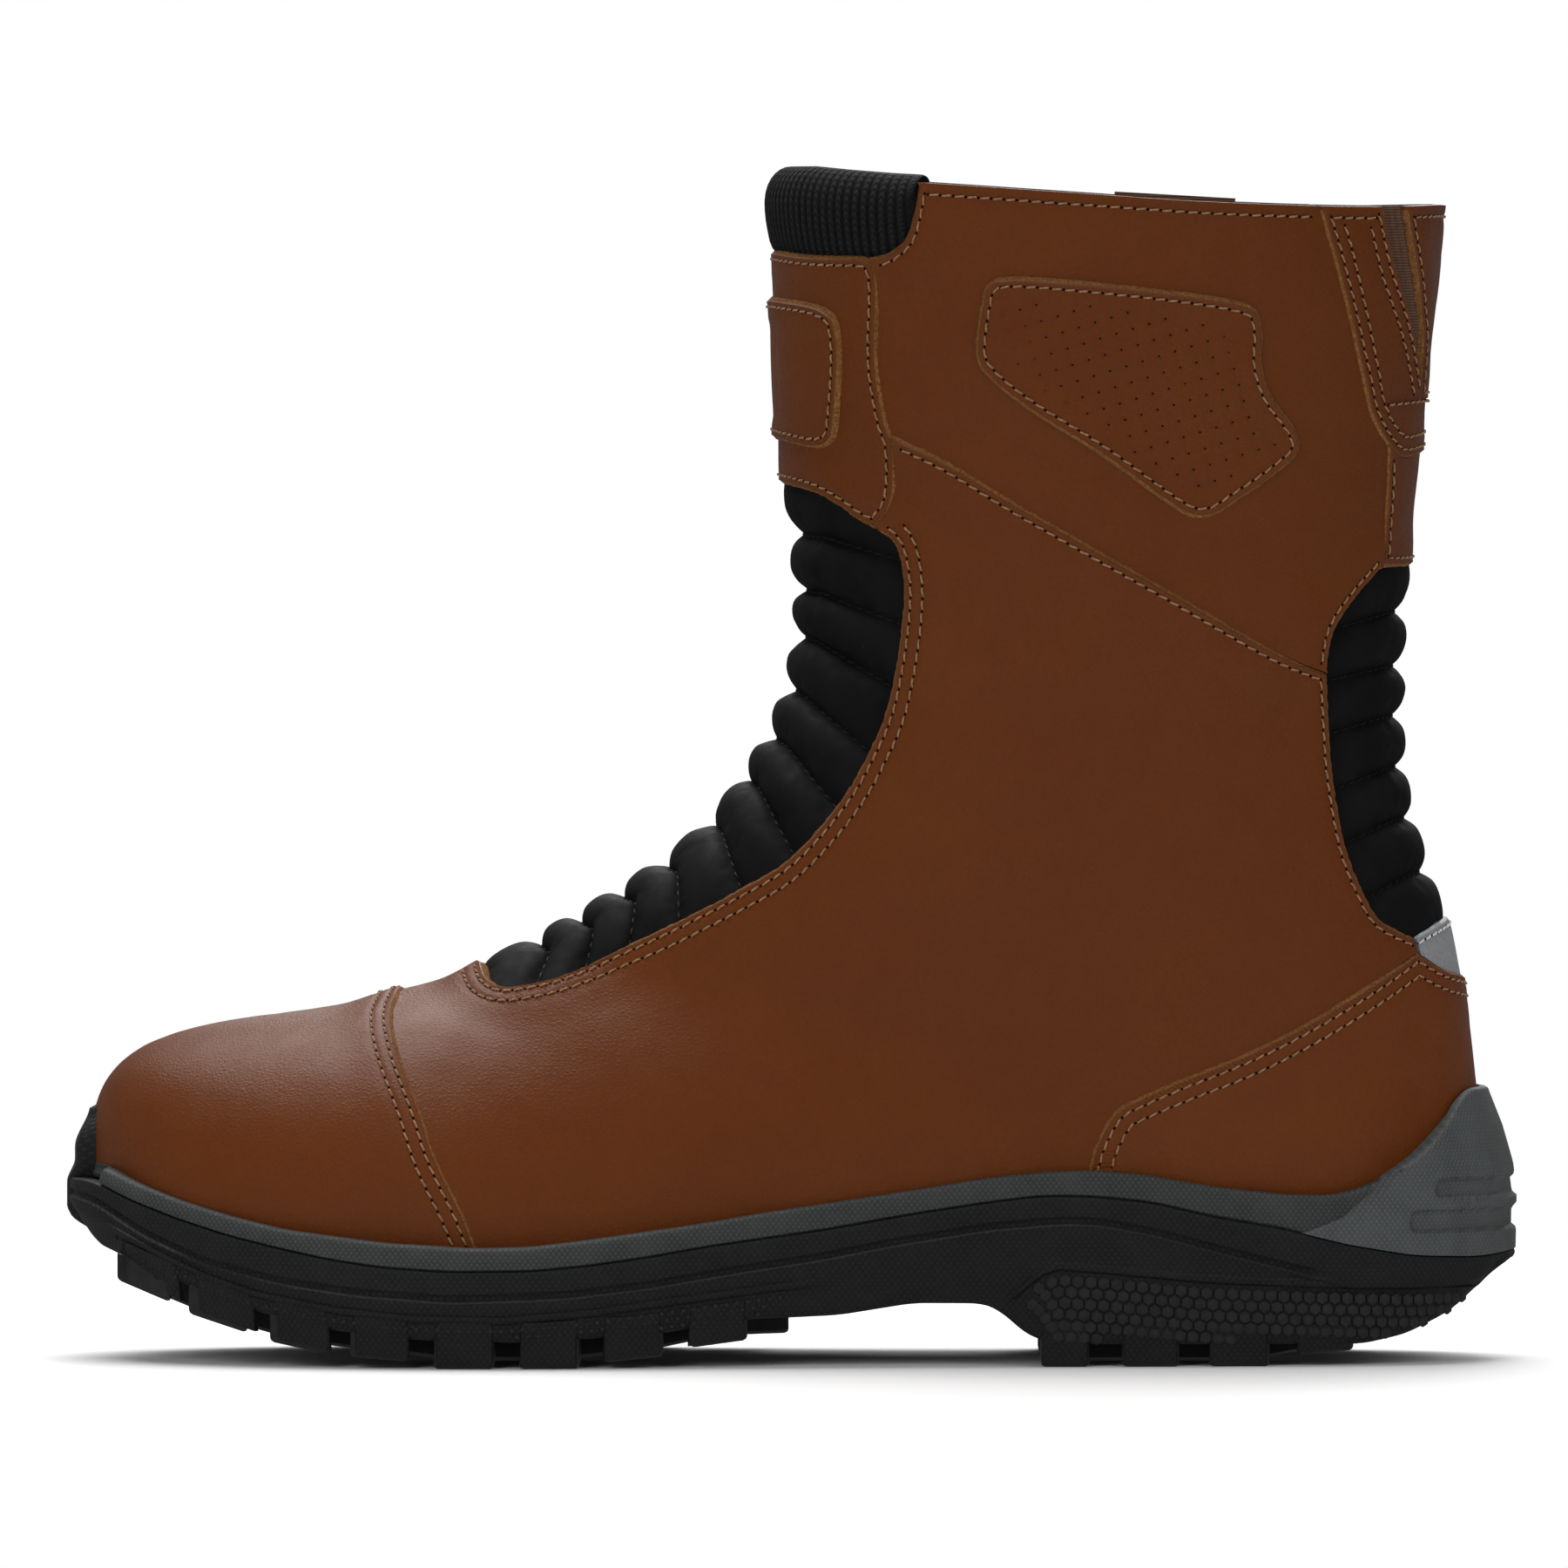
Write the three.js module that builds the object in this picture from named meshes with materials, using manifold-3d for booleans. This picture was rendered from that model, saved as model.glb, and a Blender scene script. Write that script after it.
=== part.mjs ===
// A left motorcycle boot, mid-calf high, with accordion flex panels at the ankle and a zip on the inner side.
// Units are millimetres. The toe points along -X, +Z is up, and the outer side of the foot faces -Y.
// The origin is on the floor, under the middle of the boot.
//
// The upper is one loft. Each of its rings runs from a point of the front line (shin, instep, top of the toe)
// to a point of the back line (calf, heel, sole of the foot). Every panel, stiffener and lining is a layer of
// that loft, cut along outlines that are drawn in the side view as [x, z] and run straight across the boot.

import * as THREE from "three";
import { mergeVertices } from "three/addons/utils/BufferGeometryUtils.js";
import Module from "manifold-3d";

const wasm = await Module();
wasm.setup();

// Driving dimensions
const GAP = 0.3; // clearance between pieces that touch
const FAR = 90; // further than any point of the boot from its middle plane
const SHAFT_TOP = 247; // height of the top edge at the back of the shaft
const COLLAR_TOP = 255.3; // height of the collar at the shin

// Layers of the upper: how far each one lies inside the outer surface, from its outer to its inner face
const OVERLAY = [-1.8, -GAP]; // patches sewn on top
const LEATHER = [0, 2];
const STIFFENER = [2.3, 3.5]; // toe puff, heel stiffener and ankle cups
const LINING = [3.8, 6.3];
const GUSSET = [3.8, 5];
const GORE = [0.4, 1.8];
const TAPE = [2.3, 3.1];
const COIL = [0.5, 2];
const STOP = [0.2, 2];
const COLLAR = [-1, 8];
const BOARD_INSET = 0.3;
const FOOTBED_INSET = 6.6;

// Heights above the lasted bottom of the upper
const BOARD = [0.3, 2.7];
const WALL_FOOT = 3; // where leather and lining stop
const FOOTBED = [3.2, 8];
const SHANK = [-2.8, -0.3];

// Zip on the inner side, drawn in the side view
const ZIP_TOP = [82, 243];
const ZIP_BOTTOM = [64, 76];
const SLIT_HALF = 6;
const TAPE_HALF = 13;
const COIL_HALF = 2.8;
const ZIP_FACE = [41, 50.2]; // how far out the leather lies at the bottom and the top of the zip
const SLIDER_REST = 235.5; // height of the slider on the closed zip
const SLIDER_FACE = 2;
const PULL_AXIS = 3.5; // the bar of the pull, above the leather

const COLOURS = {
  leather: 0x5c3219, softshell: 0x1c1c1c, knit: 0x1b1b1b, foxing: 0x464745, rubber: 0x222222,
  elastic: 0x68432b, reflective: 0x828385, mesh: 0x202020, board: 0xb9a27c, steel: 0x9a9c9e,
  stiffener: 0xd8d2c4,
  zip: 0x201a16, metal: 0x8c8479, foam: 0x2b2b2b,
};

const boot = new THREE.Group();

// ---------------------------------------------------------------- solids

function solidOf(geometry) {
  const bare = geometry.clone();
  bare.deleteAttribute("normal");
  bare.deleteAttribute("uv");
  const merged = mergeVertices(bare, 1e-4);
  return new wasm.Manifold(new wasm.Mesh({
    numProp: 3,
    vertProperties: new Float32Array(merged.attributes.position.array),
    triVerts: new Uint32Array(merged.index.array),
  }));
}

function addPart(name, solid, colour, roughness = 0.6, metalness = 0) {
  const mesh = solid.getMesh();
  const geometry = new THREE.BufferGeometry();
  geometry.setAttribute("position", new THREE.BufferAttribute(mesh.vertProperties, 3));
  geometry.setIndex(new THREE.BufferAttribute(mesh.triVerts, 1));
  geometry.computeVertexNormals();
  const material = new THREE.MeshStandardMaterial({ color: COLOURS[colour], roughness, metalness });
  const part = new THREE.Mesh(geometry, material);
  part.name = name;
  boot.add(part);
  return part;
}

function block([x0, x1], [y0, y1], [z0, z1]) {
  const box = new THREE.BoxGeometry(x1 - x0, y1 - y0, z1 - z0);
  return solidOf(box.translate((x0 + x1) / 2, (y0 + y1) / 2, (z0 + z1) / 2));
}

// A side-view outline that runs across the boot from y0 to y1
function prism(outline, y0 = -FAR, y1 = FAR) {
  const shape = new THREE.Shape(outline.map(([x, z]) => new THREE.Vector2(x, z)));
  const geometry = new THREE.ExtrudeGeometry(shape, { depth: y1 - y0, bevelEnabled: false });
  geometry.rotateX(Math.PI / 2);
  geometry.translate(0, y1, 0);
  return solidOf(geometry);
}

// The same point moved sideways from a polyline, with mitred corners
function besideLine(points, i, distance) {
  const before = points[Math.max(i - 1, 0)];
  const after = points[Math.min(i + 1, points.length - 1)];
  const here = points[i];
  const normals = [];
  for (const [a, b] of [[before, here], [here, after]]) {
    const length = Math.hypot(b[0] - a[0], b[1] - a[1]);
    if (length > 0) normals.push([(a[1] - b[1]) / length, (b[0] - a[0]) / length]);
  }
  const sum = [0, 1].map((k) => normals.reduce((total, n) => total + n[k], 0) / normals.length);
  const size = Math.max(sum[0] ** 2 + sum[1] ** 2, 0.3);
  return [here[0] + (sum[0] * distance) / size, here[1] + (sum[1] * distance) / size];
}

// A line in the side view given a width, so that it can cut a seam or become a strip
function strip(points, from = -GAP / 2, to = GAP / 2) {
  const left = points.map((_, i) => besideLine(points, i, from));
  const right = points.map((_, i) => besideLine(points, i, to));
  return [...left, ...right.reverse()];
}

function circle(centre, radius, steps = 24) {
  const turns = Array.from({ length: steps }, (_, i) => (i / steps) * 2 * Math.PI);
  return turns.map((a) => [centre[0] + radius * Math.cos(a), centre[1] + radius * Math.sin(a)]);
}

// A closed solid through rings of equally many points, with flat-fanned ends
function loft(rings) {
  const count = rings[0].length;
  const centreOf = (ring) => ring.reduce((sum, p) => sum.add(p), new THREE.Vector3()).divideScalar(count);
  const points = [...rings.flat(), centreOf(rings[0]), centreOf(rings.at(-1))];
  const index = [];
  for (let i = 0; i < rings.length - 1; i++) {
    for (let j = 0; j < count; j++) {
      const a = i * count + j;
      const b = i * count + ((j + 1) % count);
      index.push(a, b, a + count, b, b + count, a + count);
    }
  }
  const first = points.length - 2;
  const lastRing = (rings.length - 1) * count;
  for (let j = 0; j < count; j++) {
    const next = (j + 1) % count;
    index.push(first, next, j);
    index.push(first + 1, lastRing + j, lastRing + next);
  }
  const geometry = new THREE.BufferGeometry().setFromPoints(points);
  geometry.setIndex(index);
  const solid = solidOf(geometry);
  return solid.volume() > 0 ? solid : solidOf(geometry.setIndex(index.reverse()));
}

// ---------------------------------------------------------------- form of the upper

// front x, front z, back x, back z, half width, widest place from front to back, middle y,
// squareness at the back
const STATIONS = [
  [-3, 262, 141, 262, 51.5, 0.48, 0, 0.94],
  [-4, 232, 138.6, 232, 50.5, 0.48, 0, 0.94],
  [-3.4, 202, 135.5, 205, 48.5, 0.48, 0, 0.94],
  [-0.6, 175, 132.6, 176, 46.8, 0.48, 0, 0.94],
  [-0.2, 154, 131.2, 148, 45.4, 0.48, 0, 0.92],
  [-4.6, 137, 131.8, 126, 44, 0.48, 0, 0.92],
  [-15, 120, 135.5, 109, 43.2, 0.49, 0, 0.9],
  [-27, 108.4, 140.5, 93, 42.4, 0.5, 0, 0.9],
  [-38, 101, 145, 72, 41.8, 0.52, 0, 0.88],
  [-47, 95.6, 148, 50, 41.5, 0.53, 0, 0.86],
  [-54.5, 91.4, 147, 24, 41, 0.54, -0.4, 0.8],
  [-61, 88, 112, 13, 41.5, 0.56, -0.8, 0.7],
  [-68, 84.4, 66, 12, 42.4, 0.59, -1, 0.65],
  [-76, 81, 18, 8, 44, 0.62, -1, 0.62],
  [-86, 78.4, -30, 2, 47, 0.64, -1, 0.6],
  [-98, 75.6, -70, 0, 49.8, 0.64, 0.6, 0.6],
  [-112, 73.4, -104, 4, 46.3, 0.64, 3, 0.62],
  [-128, 70.6, -129, 12, 38, 0.62, 6, 0.68],
  [-141, 65.4, -142, 22, 26, 0.6, 7.5, 0.75],
  [-148, 57.5, -148.6, 33, 13, 0.55, 8, 0.85],
  [-150.2, 48, -150.2, 45, 2, 0.5, 8, 1],
];
const TOP_SQUARENESS = 0.95;
const RINGS = 25;
const RING_POINTS = 18;

const splineOf = (i, j) => new THREE.SplineCurve(STATIONS.map((row) => new THREE.Vector2(row[i], row[j])));
const frontLine = splineOf(0, 1);
const backLine = splineOf(2, 3);
const widthLine = splineOf(4, 5);
const shiftLine = splineOf(6, 7);

// A point of a line moved sideways along the line's normal in the side view
function movedPoint(line, u, distance) {
  const tangent = line.getTangent(u);
  return line.getPoint(u).add(new THREE.Vector2(-tangent.y, tangent.x).multiplyScalar(distance));
}

// One closed ring of the upper, moved inwards by inset
function upperRing(u, inset) {
  const start = movedPoint(frontLine, u, inset);
  const end = movedPoint(backLine, u, -inset);
  const width = widthLine.getPoint(u);
  const shift = shiftLine.getPoint(u);
  const half = Math.max(width.x - inset, 0.5);
  const ring = [];
  for (let j = 0; j < RING_POINTS; j++) {
    const angle = (j / RING_POINTS) * 2 * Math.PI;
    const c = Math.cos(angle);
    const s = Math.sin(angle);
    const power = c > 0 ? TOP_SQUARENESS : shift.y;
    const reach = Math.abs(c) ** power;
    const t = c > 0 ? width.y * (1 - reach) : width.y + (1 - width.y) * reach;
    const y = shift.x + Math.sign(s) * half * Math.abs(s) ** power;
    const p = start.clone().lerp(end, t);
    ring.push(new THREE.Vector3(p.x, y, p.y));
  }
  return ring;
}

function upperBody(inset) {
  return loft(Array.from({ length: RINGS + 1 }, (_, i) => upperRing(i / RINGS, inset)));
}

// The lasted bottom of the upper, from heel to toe
const LAST_BOTTOM = new THREE.SplineCurve([
  [160, 31], [120, 29.5], [90, 29.5], [60, 28.5], [30, 24.5], [0, 19.5], [-30, 15.5], [-60, 13.5], [-90, 15],
  [-115, 19.5], [-135, 26.5], [-160, 38],
].map(([x, z]) => new THREE.Vector2(x, z))).getPoints(24).map((p) => [p.x, p.y]);

const bottomLine = (lift) => LAST_BOTTOM.map(([x, z]) => [x, z + lift]);
const aboveBottom = (lift) => prism([...bottomLine(lift), [-170, 280], [170, 280]]);
const bottomSlab = ([low, high]) => prism([...bottomLine(low), ...bottomLine(high).reverse()]);

function upperSolid(inset, lift) {
  return upperBody(inset).intersect(aboveBottom(lift));
}

function layer([outer, inner]) {
  return upperBody(outer).subtract(upperBody(inner)).intersect(aboveBottom(WALL_FOOT));
}

// ---------------------------------------------------------------- outlines in the side view

const TOP_EDGE = [[27.2, 252], [65.5, 249.2], [111.5, 246.6], [140.2, SHAFT_TOP], [160, SHAFT_TOP]];
const COLLAR_SEAM = [[-14, 237.2], [13.6, 236], [19.4, 236.2], [24.2, 239.7], [25.6, 243.5], [27, 251.6]];
const TOE_CAP_EDGE = [
  [-82, 92], [-85.1, 75.2], [-84.1, 67.9], [-79.1, 54.6], [-75.7, 44.6], [-66.4, 25.9], [-62, 5],
];
const FRONT_FLEX_EDGE = [
  [-62.5, 100], [-65.8, 85], [-64.4, 81.6], [-61, 80.2], [-55.5, 80.8], [-44.8, 84.2], [-35.5, 88.8],
  [-23.5, 94.6], [-11.6, 100.9], [-0.9, 107.5], [10.4, 120.1], [15.8, 129.4], [20.4, 140.1], [23.3, 156],
  [23.8, 167.1], [21.8, 175.1], [17.7, 178.2],
];
const SHIN_BOTTOM = [[-16, 188.6], [-1.5, 187.4], [5.7, 185.4], [11.3, 182.2], [17.7, 178.2]];
const SHIN_REAR = [
  [15.8, 236.2], [18.2, 232], [18.2, 212.6], [20.3, 200.7], [21.8, 196.4], [21.3, 183.1], [17.7, 178.2],
];
const SHAFT_SEAM = [[20.6, 198.3], [33.7, 192.1], [47.9, 183.5], [111.7, 147.1], [114.4, 146.6]];
const REAR_FLEX_EDGE = [
  [150, 170], [125.6, 169.9], [119.3, 162.6], [115.1, 156.2], [113.6, 148.3], [114.3, 134.1], [115.4, 122.6],
  [117.9, 109.8], [121.5, 100.5], [125, 94.8], [132.9, 90.4], [141, 94.4], [152, 99],
];
const BACKSTAY_FRONT = [[127, 196.6], [125.6, 169.4]];
const GORE_COVER_EDGE = [
  [109, 262], [115.2, 235.2], [120.9, 211.7], [123, 202.3],
  [126.2, 196.5], [129.8, 193], [135.1, 194.1], [152, 197],
];
const GORE_V = [
  [121.5, 258], [128.3, 234.2], [131.9, 222.2], [134, 209.1], [134.5, 216.9], [132.9, 235], [130.2, 258],
];
const BACK_BOX = [[100, 150], [160, 150], [160, 290], [100, 290]];
const BACK_STRIP_SEAM = [[134, 209.4], [134, 205], [152, 205]];
const HEEL_COVER_EDGE = [
  [56, 12], [63.2, 42.4], [64.7, 47.4], [68.9, 54.5], [82.5, 61], [96.8, 66.7], [111, 73.8], [125.3, 82.4],
  [133.2, 88.1], [138.9, 83.8], [152, 81.4],
];
const TAB_FRONT = [[132.9, 91], [133.1, 87.5]];
const SHIN_PATCH = [
  [-12, 228.4], [6.1, 225.4], [9.9, 222.5], [10.6, 216.9], [9.7, 200.7], [7.5, 195.5], [-12, 197.4],
];
const SIDE_PATCH = [
  [44.6, 232], [94.7, 226.4], [99.3, 222.6], [99.5, 213.3],
  [107.3, 198.1], [106.6, 194], [88, 180.5], [81.1, 182.9],
  [43.2, 209.2], [39.4, 216.8], [41.3, 229.7],
];
const LINING_SEAM = 128; // height of the seam between the foot lining and the shaft lining

// A point on the zip line at a height
function zipAt(z) {
  const share = (z - ZIP_BOTTOM[1]) / (ZIP_TOP[1] - ZIP_BOTTOM[1]);
  return [ZIP_BOTTOM[0] + share * (ZIP_TOP[0] - ZIP_BOTTOM[0]), z];
}

function zipBand(from, to, bottom, top) {
  return prism(strip([zipAt(bottom), zipAt(top)], from, to), 5, FAR);
}

// ---------------------------------------------------------------- leather upper

function cutSeams(shell) {
  const seams = [
    COLLAR_SEAM, TOE_CAP_EDGE, FRONT_FLEX_EDGE, SHIN_BOTTOM, SHIN_REAR, SHAFT_SEAM, REAR_FLEX_EDGE,
    BACKSTAY_FRONT, GORE_COVER_EDGE, BACK_STRIP_SEAM, HEEL_COVER_EDGE, TAB_FRONT,
  ];
  let cut = seams.reduce((rest, seam) => rest.subtract(prism(strip(seam))), shell);
  cut = cut.subtract(prism([[26.8, 251.9], ...TOP_EDGE, [160, 290], [26.8, 290]]));
  cut = cut.subtract(prism([...COLLAR_SEAM, [27.2, 290], [-20, 290]]));
  cut = cut.subtract(prism(GORE_V));
  return cut.subtract(zipBand(-SLIT_HALF, SLIT_HALF, ZIP_BOTTOM[1] - 4, 270));
}

// Each leather or fabric panel, with a side-view point that lies on it and the side of the boot it is on
const PANELS = [
  ["toe_cap", [-115, 60], -1, "leather"],
  ["vamp_quarters", [30, 80], -1, "leather"],
  ["shin_panel", [8, 215], -1, "leather"],
  ["shaft_panel_outer", [70, 215], -1, "leather"],
  ["shaft_panel_inner_front", [50, 215], 1, "leather"],
  ["shaft_panel_inner_rear", [105, 215], 1, "leather"],
  ["front_flex_panel", [10, 150], -1, "softshell"],
  ["rear_flex_panel", [124, 130], -1, "softshell"],
  ["backstay", [131, 182], -1, "leather"],
  ["gore_cover", [125, 212], -1, "leather"],
  ["back_strip", [138, 225], -1, "leather"],
  ["heel_cover", [115, 60], -1, "leather"],
  ["reflective_tab", [138, 89], -1, "reflective"],
];

function addPanels() {
  const pieces = cutSeams(layer(LEATHER)).decompose();
  for (const [name, point, side, colour] of PANELS) {
    const probe = prism(circle(point, 1, 6), side < 0 ? -FAR : 0, side < 0 ? 0 : FAR);
    const hits = pieces.map((piece) => piece.intersect(probe).volume());
    addPart(name, pieces[hits.indexOf(Math.max(...hits))], colour);
  }
}

function addOverlays() {
  const overlay = layer(OVERLAY);
  addPart("shin_patch", overlay.intersect(prism(SHIN_PATCH)), "leather");
  addPart("perforated_patch", overlay.intersect(prism(SIDE_PATCH, -FAR, 0)), "leather");
}

// Elastic wedges that let the top of the shaft widen, one on each side of the back strip
function addGores() {
  const aboveRim = prism([[100, 246], [160, 246], [160, 290], [100, 290]]);
  const shell = layer(GORE).intersect(prism(GORE_V)).subtract(aboveRim);
  const edges = GORE_V.map((p, i) => [p, GORE_V[(i + 1) % GORE_V.length]]);
  const wedges = edges.reduce((rest, edge) => rest.subtract(prism(strip(edge, -GAP, GAP))), shell);
  addPart("elastic_gore_outer", wedges.intersect(prism(BACK_BOX, -FAR, 0)), "elastic");
  addPart("elastic_gore_inner", wedges.intersect(prism(BACK_BOX, 0, FAR)), "elastic");
}

// The padded knitted roll over the front of the rim
function addCollar() {
  const crown = [[26.6, 253.2], [20, 253.6], [10, 254], [2.1, COLLAR_TOP], [-3, 252.4], [-14, 250]];
  const outline = [...COLLAR_SEAM.map(([x, z]) => [x - GAP, z + GAP]), ...crown];
  const roll = upperBody(COLLAR[0]).subtract(upperBody(COLLAR[1]));
  addPart("knit_collar", roll.intersect(prism(outline)), "knit", 0.9);
}

// ---------------------------------------------------------------- inside the upper

const TOE_PUFF = [[-88, 0], [-170, 0], [-170, 90], [-92, 90]];
const HEEL_STIFFENER = [[84, 10], [90, 55], [112, 66], [132, 78], [160, 80], [160, 10]];
const ANKLE_CUP = circle([102, 104], 20);

function addStiffeners() {
  const shell = layer(STIFFENER);
  addPart("toe_puff", shell.intersect(prism(TOE_PUFF)), "stiffener");
  addPart("heel_stiffener", shell.intersect(prism(HEEL_STIFFENER)), "stiffener");
  addPart("ankle_cup_outer", shell.intersect(prism(ANKLE_CUP, -FAR, 0)), "foam");
  addPart("ankle_cup_inner", shell.intersect(prism(ANKLE_CUP, 0, FAR)), "foam");
}

function addLinings() {
  const window = zipBand(-TAPE_HALF - GAP, TAPE_HALF + GAP, ZIP_BOTTOM[1] - 8, 270);
  const underCollar = COLLAR_SEAM.map((_, i) => besideLine(COLLAR_SEAM, i, -2));
  const lining = layer(LINING)
    .subtract(prism([...TOP_EDGE.map(([x, z]) => [x, z - 1]), [160, 290], [27.2, 290]]))
    .subtract(prism([...underCollar, [29, 290], [-30, 290]]))
    .subtract(window);
  const between = (low, high) => prism([[-170, low], [170, low], [170, high], [-170, high]]);
  addPart("foot_lining", lining.intersect(between(0, LINING_SEAM)), "mesh", 0.95);
  addPart("shaft_lining", lining.intersect(between(LINING_SEAM + GAP, 290)), "mesh", 0.95);
}

function addFootbed() {
  addPart("insole_board", upperBody(BOARD_INSET).intersect(bottomSlab(BOARD)), "board");
  addPart("footbed", upperBody(FOOTBED_INSET).intersect(bottomSlab(FOOTBED)), "foam", 0.9);
}

// ---------------------------------------------------------------- sole unit

// x, half width, middle y of the sole, from the tip of the toe to the heel
const SOLE_STATIONS = [
  [-155.2, 0.5, 8], [-153.5, 14, 8], [-148, 25, 8], [-138, 35, 7], [-122, 45, 5], [-104, 51.8, 2.5],
  [-84, 55.5, 0.5],
  [-62, 56, -0.5], [-40, 53.4, -1], [-15, 49.2, -1.5], [12, 46.2, -1.5], [40, 45.2, -1], [68, 45, -0.5],
  [95, 43.5, 0], [118, 40, 0], [135, 33.5, 0], [147, 22.5, 0], [153.2, 11.5, 0], [155, 0.5, 0],
];
const SOLE_STEPS = 40;

const spline2 = (rows) => new THREE.SplineCurve(rows.map(([x, z]) => new THREE.Vector2(x, z)));
const soleWidth = spline2(SOLE_STATIONS);
const soleMiddle = spline2(SOLE_STATIONS.map(([x, , middle]) => [x, middle]));

// Heights along the sole
const FOXING_TOP = [
  [-156, 42], [-149, 41.8], [-131, 35], [-109, 29.5], [-87, 26.9],
  [-67.7, 25.8], [-43, 27.5], [-18, 31], [6.5, 34.9],
  [41.7, 40.4], [64.7, 42], [89.6, 38.5], [109, 36.2], [121.7, 37.8], [132.4, 42], [141.7, 50.2], [147, 56],
  [149.7, 56.9], [152, 50], [154, 41], [156, 36],
];
const OUTSOLE_TOP = [
  [-156, 38.8], [-150, 38.8], [-131, 31.1], [-109, 25.4], [-87, 21.7], [-67.7, 20.5], [-43, 22.1], [-18, 26],
  [6.5, 29.4], [41.7, 35.2], [58, 36.6], [76.7, 35.1],
  [103.9, 29.6], [118.2, 26], [132.4, 23.5], [146.7, 22.8],
  [156, 23.4],
];
const OUTSOLE_BOTTOM = [
  [-156, 31], [-152.9, 25.1], [-144.7, 22], [-132, 17], [-116, 11.7],
  [-99, 8], [-82, 6.2], [-55, 5.5], [-27, 7.4],
  [-9.5, 10.2], [10.3, 11.1], [26, 13.6], [41, 13.5], [44, 12.2],
  [51, 6], [63, 4.8], [122.7, 4.6], [133, 6.6],
  [143.3, 11], [151.9, 18.4], [156, 22],
];
const SOLE_LEAN = 3.4; // how far the sole's wall leans in from its top to its tread

// The outline of the sole as a solid between two heights along the boot, leaning in towards its bottom
function soleBody(lowLine, highLine, lean, inset) {
  const heightOn = (line, x) => {
    const i = Math.max(line.findIndex(([px]) => px >= x), 1);
    const share = (x - line[i - 1][0]) / (line[i][0] - line[i - 1][0]);
    return THREE.MathUtils.lerp(line[i - 1][1], line[i][1], share);
  };
  const rings = Array.from({ length: SOLE_STEPS + 1 }, (_, i) => {
    const even = i / SOLE_STEPS;
    const u = 0.4 * even + 0.3 * (1 - Math.cos(even * Math.PI)); // closer together at the round ends
    const { x, y: width } = soleWidth.getPoint(u);
    const middle = soleMiddle.getPoint(u).y;
    const half = Math.max(width - inset, 0.4);
    const low = heightOn(lowLine, x);
    const high = Math.max(heightOn(highLine, x), low + 0.4);
    const foot = Math.max(half - lean, 0.3);
    const waist = (low + high) / 2;
    const section = [[-foot, low], [foot, low], [half, waist], [half, high], [-half, high], [-half, waist]];
    return section.map(([y, z]) => new THREE.Vector3(x, middle + y, z));
  });
  return loft(rings);
}

// front x, rear x, bottom front z, bottom rear z of each lug of the forefoot
const LUGS = [
  [-144, -132.4, 17.5, 13.1], [-128.5, -115.9, 10.9, 7.1], [-111, -99.3, 5.4, 3.1], [-93.8, -81.7, 2.4, 1.5],
  [-76, -63.3, 0, 0], [-57.7, -45.1, 0, 0], [-39.7, -27.4, 1.2, 2.5], [-21.6, -9.5, 4.3, 5.9],
];
const HEEL_LUGS = [[53, 63.2], [70.4, 82.4], [89, 101.6], [108, 119.5]];
const LUG_ROOT = 8;
const BUMPER_THICKNESS = 4.6;
const SHANK_EXTENT = [-18, 104, 11]; // front x, rear x, half width
const HEEL_CUP = [
  [132, 60], [128.7, 38.5], [120, 33], [110.8, 29.7], [106, 20], [170, 20], [170, 70], [132, 70],
];

function tread() {
  const rows = [...LUGS, ...HEEL_LUGS.map(([x0, x1]) => [x0, x1, 0, 0])];
  const blocks = rows.map(([x0, x1, z0, z1]) => {
    return [[x0, z0], [x1, z1], [x1, z1 + LUG_ROOT], [x0, z0 + LUG_ROOT]];
  });
  const lugs = blocks.map((block) => prism(block)).reduce((sum, block) => sum.add(block));
  const floor = [[-156, -1], [156, -1]];
  const roof = [[-156, 40], [156, 40]];
  const outline = soleBody(floor, roof, 0, SOLE_LEAN);
  const channels = [-17, 17].map((y) => block([-160, 160], [y - 2.5, y + 2.5], [-LUG_ROOT, LUG_ROOT]));
  return channels.reduce((rest, channel) => rest.subtract(channel), lugs.intersect(outline));
}

// The rubber that climbs over the tip of the toe
function toeBumper(outer, inner) {
  const wall = upperBody(-outer).subtract(upperBody(-inner));
  const tip = [[-170, 33], [-148.2, 33], [-148.6, 46], [-149.4, 52.5], [-170, 52.5]];
  return wall.intersect(prism(tip, -12, 28));
}

function addSole() {
  const [shankFront, shankRear, shankHalf] = SHANK_EXTENT;
  const shankBox = (gap) => {
    return block([shankFront - gap, shankRear + gap], [-shankHalf - gap, shankHalf + gap], [0, 60]);
  };
  addPart("shank", bottomSlab(SHANK).intersect(shankBox(0)), "steel", 0.4, 1);

  const cavity = upperSolid(-GAP, -GAP);
  const pocket = bottomSlab([SHANK[0] - GAP, BOARD[1]]).intersect(shankBox(GAP));
  const underFoxing = OUTSOLE_TOP.map(([x, z]) => [x, z - GAP]);
  const base = soleBody(OUTSOLE_BOTTOM, underFoxing, SOLE_LEAN, 0);
  const outsole = base.add(tread()).add(toeBumper(BUMPER_THICKNESS, GAP));
  addPart("outsole", outsole.subtract(cavity).subtract(pocket), "rubber", 0.8);

  const band = soleBody(OUTSOLE_TOP, FOXING_TOP, 0, 0.5).subtract(cavity).subtract(toeBumper(12, 0));
  addPart("heel_cup", band.intersect(prism(HEEL_CUP.map(([x, z]) => [x + GAP, z]))), "foxing", 0.7);
  addPart("foxing_band", band.subtract(prism(HEEL_CUP)), "foxing", 0.7);
}

// ---------------------------------------------------------------- zip

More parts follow.
